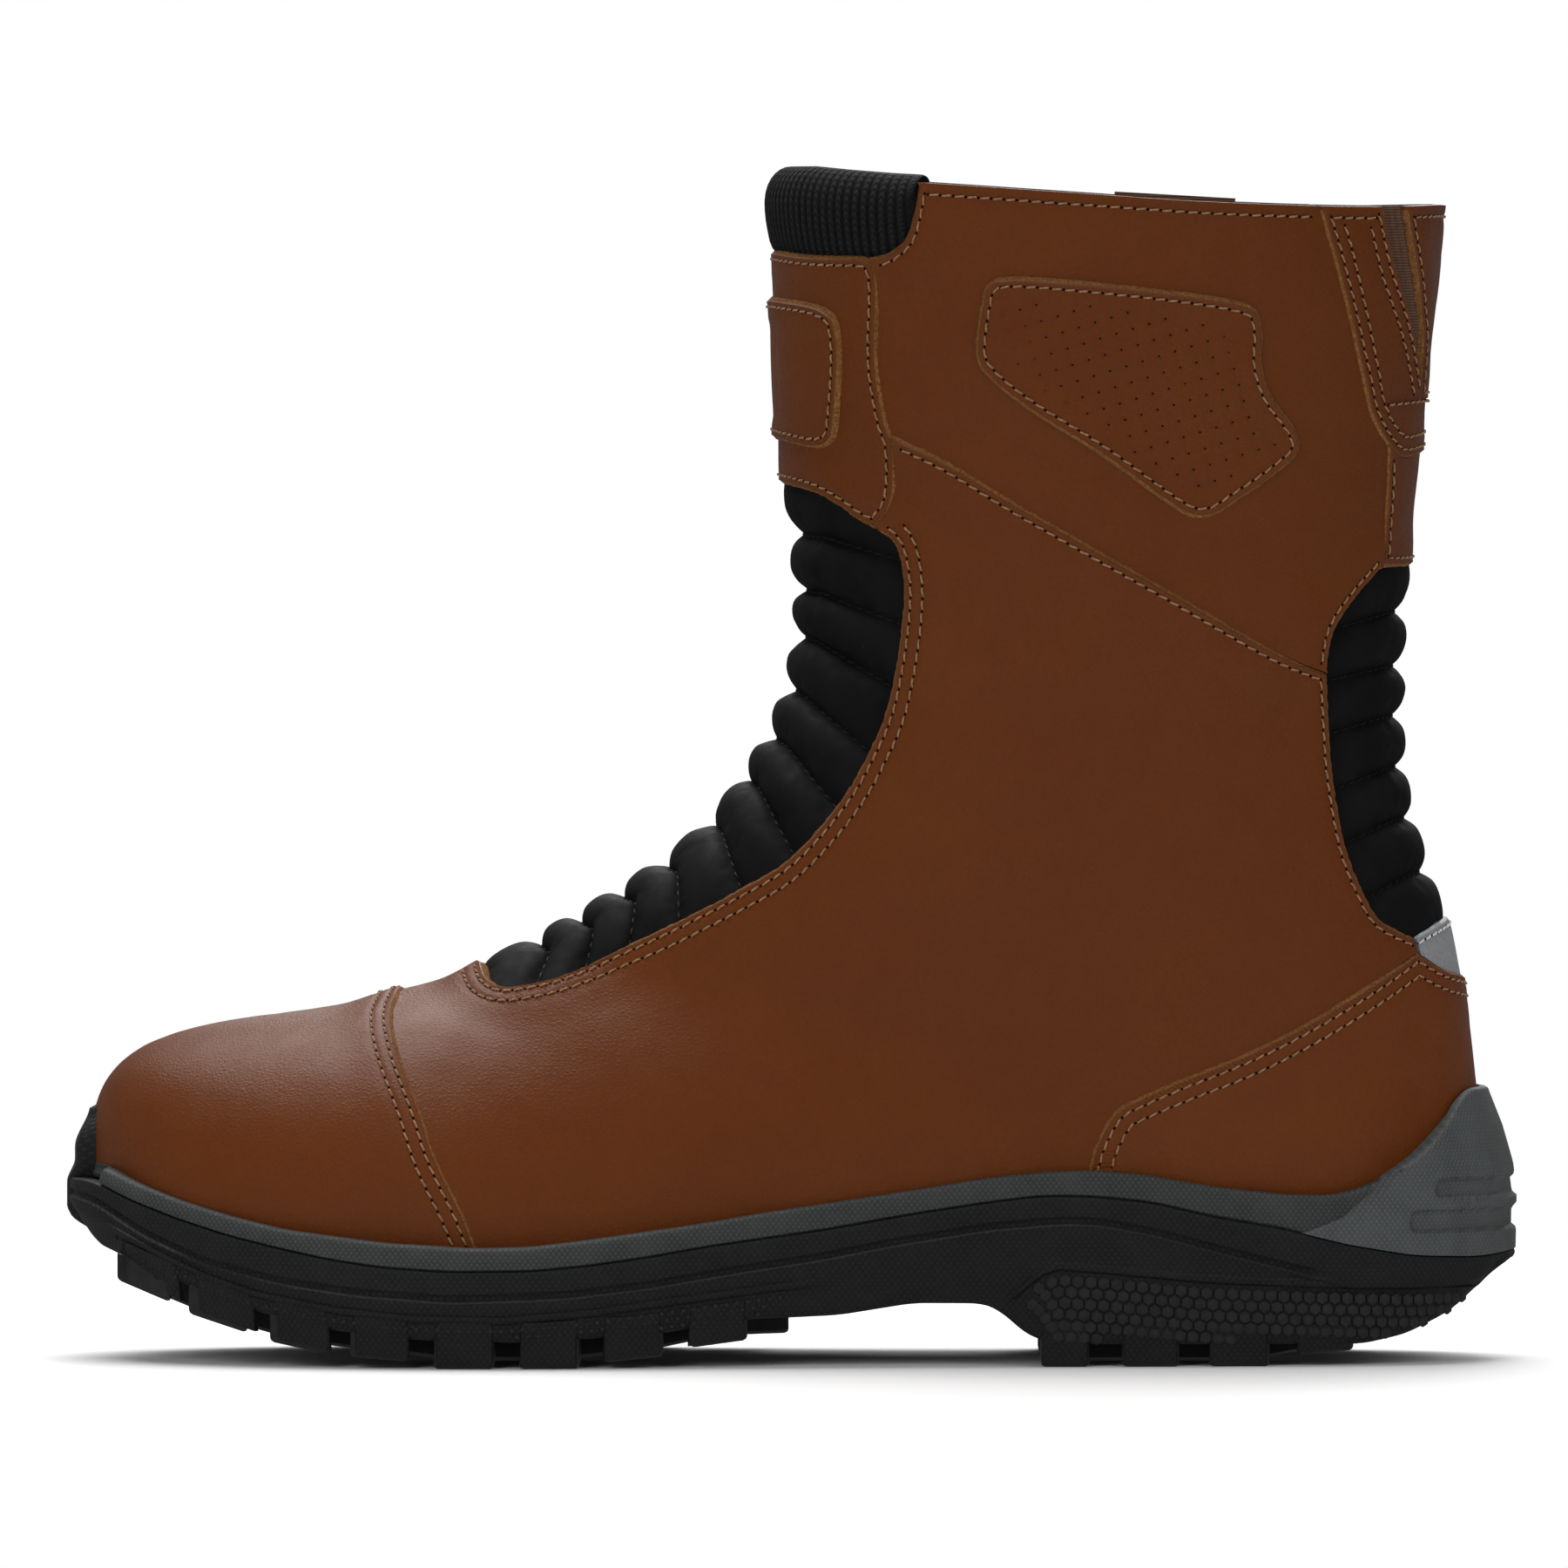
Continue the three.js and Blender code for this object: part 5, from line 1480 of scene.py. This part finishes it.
def foxing_band():
    """The grey sidewall, from the black rubber up to its rounded lip on the leather."""
    x = LOOP[:, 0]
    low, top, room = height_on(WALL_MIDDLE, x), height_on(WALL_TOP, x), room_inside()
    under_cup = .9 * ease((x - CUP_FRONT[0] + 4) / 22) + 4.2 * ease((TOE_EDGE + .4 - x) / 1.4)
    top = top - 1.2 * ease((x - 130) / 8)
    top = top - np.maximum(top - 40, 0) * ease((x - 134) / 8)
    rows = [(low - .3, 1.4 + under_cup)]
    for t in np.linspace(0, 1, 12):
        z = low + (top - 1.5 - low) * t
        rows.append((z, .5 + under_cup - .3 * math.sin(math.pi * t) + (.5 if t == 0 else 0)))
    for dz, inset in ((-.9, .7), (-.4, 1.05), (-.1, 1.6), (0, 2.3)):
        rows.append((top + dz, np.minimum(inset + under_cup, room - .3)))
    rows += [(top - .15, np.maximum(room - .4, 1.2)), (top - .8, room + .5), (low + 1, room + 1),
             (low - .3, room + 1)]
    shape = Shape()
    add_rows(shape, ALL_ROUND, rows)
    return place(shape.make("foxing_band", [GREY_RUBBER]), "boot", "foxing_grey", "foxing_band")


def cup_lean(x, z):
    """How far the back of the heel cup leans in at a height."""
    return np.interp(z, [36, 42, 50, 57.5], [0, .8, 3, 5.8]) * ease((x - 126) / 20)


def heel_cup():
    """The raised grey cup at the back of the heel, with its two slots."""
    x = LOOP[:, 0]
    outer = np.arange(HALF_LOOP)
    lip = [(.2, .35), (.9, .7), (2.1, .75)]  # inset and height of the rounded lip
    levels = np.concatenate([[0, 0], np.linspace(0, 1, 46), np.ones(len(lip))])
    across = np.linspace(0, 1, 300)
    room = room_inside()
    points, flat = [], []
    for k, level in enumerate(levels):
        begin = CUP_FRONT[0] + (CUP_FRONT[1] - CUP_FRONT[0]) * level**1.25
        start = np.interp(begin, x[outer], outer)
        finish = len(LOOP) - np.interp(begin, x[::-1][outer], outer)
        s = start + (finish - start) * across
        here = on_loop(s)[0][:, 0]
        low, top = height_on(WALL_MIDDLE, here), height_on(WALL_TOP, here)
        z = low + (top - low) * level
        skin = -.15 - .25 * math.sin(math.pi * level)
        inset = np.full(len(s), skin)
        for front, middle, tall in SLOTS:
            away = np.hypot(np.minimum(here - front, 0) * 1.6, z - middle) - tall
            inset += 1.1 * ease(.5 - away / .65)
        inset += .9 * (1 - ease(across / .012) * ease((1 - across) / .012))
        inside_gap = np.interp(np.mod(s, len(LOOP)), ALL_ROUND, room)
        inset = np.minimum(inset + cup_lean(here, z), np.maximum(inside_gap - 1.5, 0))
        if k == 0:
            inset, z = np.full(len(s), 1.6), z - .1
        elif k >= len(levels) - len(lip):
            lip_inset, lip_height = lip[k - len(levels)]
            inset = np.minimum(lip_inset + skin + cup_lean(here, top), inside_gap - .4)
            z = top + lip_height
        points.append(wall_points(s, z, inset))
        flat.append(np.stack([s * LOOP_STEP, z], axis=1))
    points.append(wall_points(s, top + .2, inside_gap - .2))
    points.append(wall_points(s, top - 2.5, np.maximum(inside_gap, 1.6)))
    flat += [flat[-1] + [0, 1], flat[-1] + [0, 3]]
    shape = Shape()
    shape.add(np.vstack(points), skin_faces(len(points), len(across)), 0, np.vstack(flat))
    return place(shape.make("heel_cup", [CUP_RUBBER]), "boot", "foxing_grey", "heel_cup")


def studs(shape, s, z, radius, height, sides, turn=0.0):
    """Small raised rubber cells on the black wall, in the lighter tread rubber as a painted highlight against
    the darker wall.
    """
    spot, out = on_loop(s)
    centres = wall_points(s, z, lean(spot[:, 0], z))
    angle = turn + circle(sides)
    for centre, (nx, ny) in zip(centres, out):
        outward, along = np.array([nx, ny, 0]), np.array([-ny, nx, 0])
        ring = np.cos(angle)[:, None] * along + np.sin(angle)[:, None] * np.array([0, 0, 1.0])
        points = [centre + ring * radius - outward * .3, centre + ring * radius + outward * height * .6,
                  centre + ring * radius * .72 + outward * height]
        faces = grid_faces(3, sides, closed=True).tolist() + [[2 * sides + k for k in range(sides)]]
        # Kind 1 is the lighter tread rubber: a painted highlight on each cell.
        shape.add(np.vstack(points), faces, 1)


def outsole_wall(shape):
    """The black wall with its groove and its beads, and the flat underside between the lugs."""
    x = LOOP[:, 0]
    low, top, groove = height_on(WALL_LOW, x), height_on(WALL_MIDDLE, x), height_on(GROOVE, x)
    fore = ease((6.6 - x) / 4)
    heel = ease((x - 44) / 4)
    bead = np.where(x < 25, height_on(FORE_BEAD, x, .5), height_on(HEEL_BEAD, x, .5))
    groove = np.minimum(np.maximum(groove, low + 3.4), top - 1.2)
    bead = np.minimum(np.maximum(bead, low + 1.2), groove - .3)
    groove_depth = .75 * ease((groove - bead - 1.2) / 1.5)
    bead_height = .75 * np.maximum(fore, heel) * ease((151 - np.abs(x)) / 9)
    rows = [(top - .1, 3.0), (top - .1, .9), (top - .3, .2), (top - .7, 0)]
    for t in (.25, .5, .75):
        rows.append((top - .7 + (groove + 1.3 - top + .7) * t, 0))
    for dz, share in ((1.3, 0), (.9, .1), (.5, .75), (0, 1), (-.45, .75), (-.8, .05), (-1.1, -.25),
                      (-1.8, -.1)):
        rows.append((groove + dz, groove_depth * share))
    for t in (.33, .66):
        rows.append((groove - 1.8 + (bead + 1.2 - groove + 1.8) * t, 0))
    for dz, share in ((1.2, 0), (.9, .1), (.6, .8), (0, 1), (-.6, .8), (-.9, .1), (-1.1, -.2)):
        rows.append((bead + dz, -bead_height * share))
    for t in (.35, .7):
        rows.append((bead - 1.1 + (low + .9 - bead + 1.1) * t, 0))
    rows += [(low + .9, .05), (low + .35, .35), (low, 1.1)]
    heights = np.minimum.accumulate(np.array([z for z, _ in rows]), axis=0)
    rows = [(z, inset + lean(x, z)) for z, (_, inset) in zip(heights, rows)]
    rows.append((top - 4, 9.0))
    add_rows(shape, ALL_ROUND, rows)
    foot = wall_points(ALL_ROUND, low, 1.0 + lean(x, low))
    outer, medial = foot[1:HALF_LOOP], foot[:HALF_LOOP:-1]
    share = np.linspace(0, 1, 25)[:, None, None]
    under = outer[None] * (1 - share) + medial[None] * share
    faces = grid_faces(len(share), HALF_LOOP - 1)
    shape.add(under.reshape(-1, 3), faces.tolist(), 1)
    shape.add((under + [0, 0, 3]).reshape(-1, 3), faces[:, ::-1].tolist(), 1)


def lug(shape, x0, x1, z0, z1, inner, side):
    """One block of tread, from the channel (or across the middle) out to the edge of the sole."""
    x = np.array([x0, x0 + .25, x0 + .9, *np.linspace(x0 + 1.8, x1 - 1.8, 7), x1 - .9, x1 - .25, x1])
    ends = np.array([1, .35, 0, *[0] * 7, 0, .35, 1]) * .8
    bottom = np.interp(x, [x0, x1], [z0, z1]) + ends
    top = height_on(WALL_LOW, x) + 1.5
    loop = LOOP[:HALF_LOOP] if side < 0 else LOOP[::-1][:HALF_LOOP]
    if inner is None:
        far = np.full(len(x), CHANNEL - CHANNEL_HALF - .4)
        near = -far
    else:
        near = np.full(len(x), side * inner)
        rib = .28 * np.abs(np.sin((x - x0) / 1.25 * np.pi / 2))
        far = np.interp(x, loop[:, 0], loop[:, 1]) - side * (SOLE_LEAN + .25 + rib)
    if (far - near).min() * (1 if inner is None else side) < 3:
        return
    sign = 1 if inner is None else side
    near, far = near + sign * ends * .7, far - sign * ends * .7
    section = [(0, 1), (0, .12), (.045, 0), (.955, 0), (1, .12), (1, 1)]
    points = [np.column_stack([x, near + (far - near) * across, bottom + (top - bottom) * up])
              for across, up in section]
    faces = skin_faces(len(section), len(x))
    if sign > 0:
        faces = [face[::-1] for face in faces]
    shape.add(np.vstack(points), faces, 1)


def half_pitch_on(x0, x1):
    """The place of a block in the middle row, which is staggered from the outer rows."""
    x0, x1 = x0 + LUG_PITCH / 2, x1 + LUG_PITCH / 2
    same_part = [block for block in LUGS if (block[0] < 0) == (x0 < 20)]
    ends = [end for front, rear, z0, z1 in same_part for end in ((front, z0), (rear, z1))]
    return x0, x1, *np.interp([x0, x1], *np.array(ends).T)


def lug_face(shape, x0, x1, z0, z1, side):
    """The outer face of a block of tread, which runs up onto the wall of the sole."""
    x = np.array([x0 + .2, x0 + .5, *np.linspace(x0 + 1.2, x1 - 1.2, 10), x1 - .5, x1 - .2])
    slope = np.array([.45, .1, *[0] * 10, .1, .45])
    s = np.interp(x, LOOP[:HALF_LOOP, 0], np.arange(HALF_LOOP))
    if side > 0:
        x, s = x[::-1], len(LOOP) - s[::-1]
    low = height_on(WALL_LOW, x)
    bottom = np.minimum(np.interp(x, [x0, x1], [z0, z1]) + .35, low - .6)
    top = low + 4.4
    rows = [(bottom, SOLE_LEAN + .3), (bottom + .45, SOLE_LEAN - .35 + slope)]
    for t in (.3, .55, .75, .9):
        z = bottom + (top - bottom) * t
        rows.append((z, lean(x, z) - .42 + slope))
    rows += [(top, lean(x, top) - .2 + slope), (top + .3, lean(x, top) + .6), (bottom, SOLE_LEAN + 2)]
    add_rows(shape, s, rows, closed=False)


def toe_bumper(shape):
    """The rubber that climbs over the tip of the toe."""
    y, z = np.meshgrid(np.linspace(-14, 30, 88), np.linspace(25.5, 53.9, 42))
    tip = LOOP[LOOP[:, 0] < -130]
    tip = tip[np.argsort(tip[:, 1])]
    wall = np.interp(y, tip[:, 1], tip[:, 0])
    skin = np.full(y.shape, -140.0)
    for k in np.ndindex(*y.shape):
        hit = FORM_TREE.ray_cast(Vector((-200, y[k] + .013, min(z[k], 53) + .007)), Vector((1, 0, 0)))
        if hit[0] is not None:
            skin[k] = hit[0].x
    for _ in range(6):
        around = np.minimum.reduce([np.roll(skin, step, axis) for step in (-1, 1) for axis in (0, 1)])
        skin = np.where(skin - around > 4, around, skin)
    limit = np.maximum(TOE_EDGE, skin.min(axis=1, keepdims=True) + 1)
    over = ease((limit - skin) / .8) * ease((54.3 - z) / .9)
    face = wall + lean(-152, z) - .4 + 1.7 * ease((z - 37.5) / 5) + 3.2 * ease((z - 45) / 9)
    face += 4 * ease((30.5 - z) / 5)
    front = face * over + (skin + 1) * (1 - over)
    flat = np.column_stack([y.ravel(), z.ravel()])
    faces = grid_faces(*y.shape)
    shape.add(np.column_stack([front.ravel(), flat]), faces[:, ::-1].tolist(), 0, flat)
    shape.add(np.column_stack([skin.ravel() + 1.5, flat]), faces.tolist(), 0, flat)


def outsole():
    """The black rubber: the wall, the tread, the bumper at the toe and the small cells on the wall."""
    shape = Shape()
    outsole_wall(shape)
    for x0, x1, z0, z1 in LUGS:
        if x1 < LUGS[-1][0]:
            lug(shape, *half_pitch_on(x0, x1), None, 1)
        for side in (OUTER, MEDIAL):
            lug(shape, x0, x1, z0, z1, CHANNEL + CHANNEL_HALF, side)
            lug_face(shape, x0, x1, z0, z1, side)
    toe_bumper(shape)
    for row in range(4):
        s = np.arange(2, len(LOOP), 2.3 / LOOP_STEP) + (row % 2) * 1.15 / LOOP_STEP
        x = on_loop(s)[0][:, 0]
        z = height_on(FORE_BEAD, x, .5) - 2.3 - 1.55 * row
        clear = (x > -146) & (x < -2 - row * 2) & (z > height_on(WALL_LOW, x) + 1.1)
        studs(shape, s[clear], z[clear], .5, .4, 8)
    for row in range(7):
        s = np.arange(0, len(LOOP), 2.75 / LOOP_STEP) + (row % 2) * 1.375 / LOOP_STEP
        x = on_loop(s)[0][:, 0]
        z = height_on(HEEL_BEAD, x, .5) - 3 - 2.4 * row
        clear = (x > 50 + row) & (z > height_on(WALL_LOW, x) + 1.2)
        studs(shape, s[clear], z[clear], 1.34, .6, 6, math.pi / 6)
    return place(shape.make("outsole", [BLACK_RUBBER, TREAD_AND_CELL_HIGHLIGHT_RUBBER]), "boot", "rubber_black", "outsole")


# ---------------------------------------------------------------- zip

ZIP_FOOT, ZIP_HEAD = 76, 243
TOOTH_PITCH = 1.35
TAPE_HALF = 13


def zip_places(z, across):
    """Places beside the middle of the zip, across mm towards the heel, at heights z."""
    z = np.asarray(z, float)
    middle = find(np.stack([zip_x(z), z], axis=1), MEDIAL)
    heading = np.gradient(on_form(middle), axis=0)
    side = np.cross(look_up(OUTWARD, middle), heading)
    side /= np.linalg.norm(side, axis=1, keepdims=True)
    side *= np.sign(side[:, :1])
    return walk(middle, side, across)


def zip_tapes():
    """The two woven tapes, from their edge at the coil out under the leather."""
    z = np.linspace(ZIP_FOOT - 6, ZIP_HEAD + 2, 130)
    for name, sign in (("zip_tape_front", -1), ("zip_tape_rear", 1)):
        across = sign * np.array([.15, .6, 1.5, 3, 4.5, 6, 8, TAPE_HALF])
        columns = [zip_places(z, a) for a in across]
        top = [on_form(uw, -2.3 + .12 * (k == 0)) for k, uw in enumerate(columns)]
        low = [on_form(uw, -3.0) for uw in columns[::-1]]
        ring = np.stack(top + low, axis=1)
        faces = ring_faces(len(z), ring.shape[1])
        if sign < 0:
            faces = [face[::-1] for face in faces]
        shape = Shape()
        shape.add(ring.reshape(-1, 3), faces)
        place(shape.make(name, [ZIP_TAPE], 60), "boot", "zip_textile", name)


def zip_coils():
    """Two nylon coils whose turns mesh along the middle of the zip."""
    around = 8  # points round the cord
    turn = circle(around)
    bend = [  # distance from the middle of the zip, lift and size along one turn of the coil
        (-.45, -1.1, .5), (-.3, -1.1, .95), (.5, -.95, 1), (1.6, -.95, 1), (2.5, -1.25, 1), (2.75, -1.6, .7),
    ]
    sizes = np.array([size for *_, size in bend])[:, None, None]
    for name, sign, start in (("zip_coil_front", -1, 0), ("zip_coil_rear", 1, .5)):
        z = np.arange(ZIP_FOOT + start * TOOTH_PITCH, ZIP_HEAD, TOOTH_PITCH)
        centres = np.stack([on_form(zip_places(z, sign * a), lift) for a, lift, _ in bend], axis=1)
        up = look_up(OUTWARD, zip_places(z, 0.0))
        along = np.gradient(on_form(zip_places(z, 0.0)), axis=0)
        along /= np.linalg.norm(along, axis=1, keepdims=True)
        shape = Shape()
        faces = ring_faces(len(bend), around)
        faces = faces if sign < 0 else [face[::-1] for face in faces]
        for k in range(len(z)):
            ring = np.cos(turn)[:, None] * along[k] * .47 + np.sin(turn)[:, None] * up[k] * .42
            tube = centres[k][:, None] + ring[None] * sizes
            shape.add(tube.reshape(-1, 3), faces)
        cord = np.stack([on_form(zip_places(z, sign * 1.7), -1.5)] * around, axis=1)
        side = np.cross(up, along)[:, None]
        ring = np.cos(turn)[None, :, None] * side * .55 + np.sin(turn)[None, :, None] * up[:, None] * .3
        shape.add((cord + ring).reshape(-1, 3), grid_faces(len(z), around, closed=True).tolist())
        place(shape.make(name, [ZIP_NYLON], 60), "boot", "zip_nylon", name)


def softened_copy(node, body, slot, material, width):
    """A CAD piece with its edges rounded off."""
    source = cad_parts[node]
    mesh = source.data.copy()
    mesh.materials.clear()
    mesh.materials.append(material)
    piece = bpy.data.objects.new(node + "_rounded", mesh)
    bpy.context.scene.collection.objects.link(piece)
    weld = piece.modifiers.new("weld", "WELD")
    weld.merge_threshold = 1e-6
    bevel = piece.modifiers.new("bevel", "BEVEL")
    bevel.width = width * MM
    bevel.segments = 2
    bevel.limit_method = "ANGLE"
    bevel.harden_normals = True
    mesh.polygons.foreach_set("use_smooth", [True] * len(mesh.polygons))
    return place(piece, body, slot, node)


def zip_hardware():
    """The slider, the pull and the stops: the CAD pieces with softer edges."""
    softened_copy("zip_slider", "zip_slider", "zip_metal", ZIP_METAL, .28)
    softened_copy("zip_pull", "zip_pull", "zip_metal", ZIP_METAL, .2)
    for node in ("zip_top_stop_front", "zip_top_stop_rear", "zip_bottom_stop"):
        softened_copy(node, "boot", "zip_metal", ZIP_METAL, .25)


def inner_pieces():
    """CAD pieces inside the boot keep their shape and get their finish."""
    finishes = {
        "toe_puff": BOARD, "heel_stiffener": BOARD, "ankle_cup_outer": FOAM, "ankle_cup_inner": FOAM,
        "foot_lining": MESH, "insole_board": BOARD, "footbed": FOAM, "shank": STEEL, "zip_gusset": ELASTIC,
    }
    for node, material in finishes.items():
        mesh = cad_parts[node].data
        mesh.materials.clear()
        mesh.materials.append(material)


# ---------------------------------------------------------------- floor, light and camera

def studio():
    """A small pale floor, a white world behind it and four soft lamps."""
    bpy.ops.mesh.primitive_circle_add(vertices=96, radius=.62, fill_type="NGON", location=(0, -.05, 0))
    floor = bpy.context.object
    floor.name = "floor"
    paint = bpy.data.materials.new("studio_floor")
    paint.use_nodes = True
    shader = paint.node_tree.nodes["Principled BSDF"]
    shader.inputs["Base Color"].default_value = (.93, .93, .93, 1)
    shader.inputs["Roughness"].default_value = .7
    floor.data.materials.append(paint)
    floor.visible_glossy = False

    world = bpy.data.worlds.new("studio_air")
    bpy.context.scene.world = world
    world.use_nodes = True
    nodes, links = world.node_tree.nodes, world.node_tree.links
    air, seen = nodes["Background"], nodes.new("ShaderNodeBackground")
    air.inputs["Color"].default_value = seen.inputs["Color"].default_value = (1, 1, 1, 1)
    air.inputs["Strength"].default_value = .16
    mix, path = nodes.new("ShaderNodeMixShader"), nodes.new("ShaderNodeLightPath")
    links.new(path.outputs["Is Camera Ray"], mix.inputs[0])
    links.new(air.outputs[0], mix.inputs[1])
    links.new(seen.outputs[0], mix.inputs[2])
    links.new(mix.outputs[0], nodes["World Output"].inputs["Surface"])

    lamps = {  # where each stands, its size and its power
        "overhead": ((-.1, .38, 1.4), 1.4, 28),
        "front": ((-.7, -1.5, .75), .9, 11),
        "rear": ((.8, -1.1, .8), .8, 5),
        "behind": ((.2, 1.3, .9), .9, 7),
    }
    for name, (spot, size, power) in lamps.items():
        data = bpy.data.lights.new(name, "AREA")
        data.size = size
        data.energy = power
        lamp = bpy.data.objects.new(name, data)
        lamp.location = spot
        lamp.rotation_euler = (Vector((0, 0, .1)) - Vector(spot)).to_track_quat("-Z", "Y").to_euler()
        lamp.visible_glossy = name in ("overhead", "behind")
        bpy.context.scene.collection.objects.link(lamp)
    bpy.context.scene.view_settings.view_transform = "Standard"


def camera():
    """A long lens on the outer side, a little above the level of the boot's middle."""
    data = bpy.data.cameras.new("camera")
    data.sensor_width = 36
    data.lens = 600
    view = bpy.data.objects.new("camera", data)
    target = Vector((-.0017, 0, .1229))
    seen_across = .3357
    away = seen_across * data.lens / data.sensor_width
    rise = math.radians(1.5)
    view.location = target + Vector((0, -math.cos(rise), math.sin(rise))) * away
    view.rotation_euler = (target - view.location).to_track_quat("-Z", "Y").to_euler()
    bpy.context.scene.collection.objects.link(view)
    bpy.context.scene.camera = view


# ---------------------------------------------------------------- the boot

toe_cap()
vamp_quarters()
shaft_panels()
shin_panel()
shin_patch()
perforated_patch()
heel_cover()
reflective_tab()
backstay()
gore_cover()
back_strip()
elastic_gores()
ribbed_panel("front_flex_panel", FRONT_VALLEYS, 0, (3.5, 2.2), (.15, -.5), 61)
ribbed_panel("rear_flex_panel", REAR_VALLEYS, 1, (3.0, 2.0), (.1, -.5), 41)
knit_collar()
shaft_lining()
foxing_band()
heel_cup()
outsole()
zip_tapes()
zip_coils()
zip_hardware()
inner_pieces()
studio()
camera()
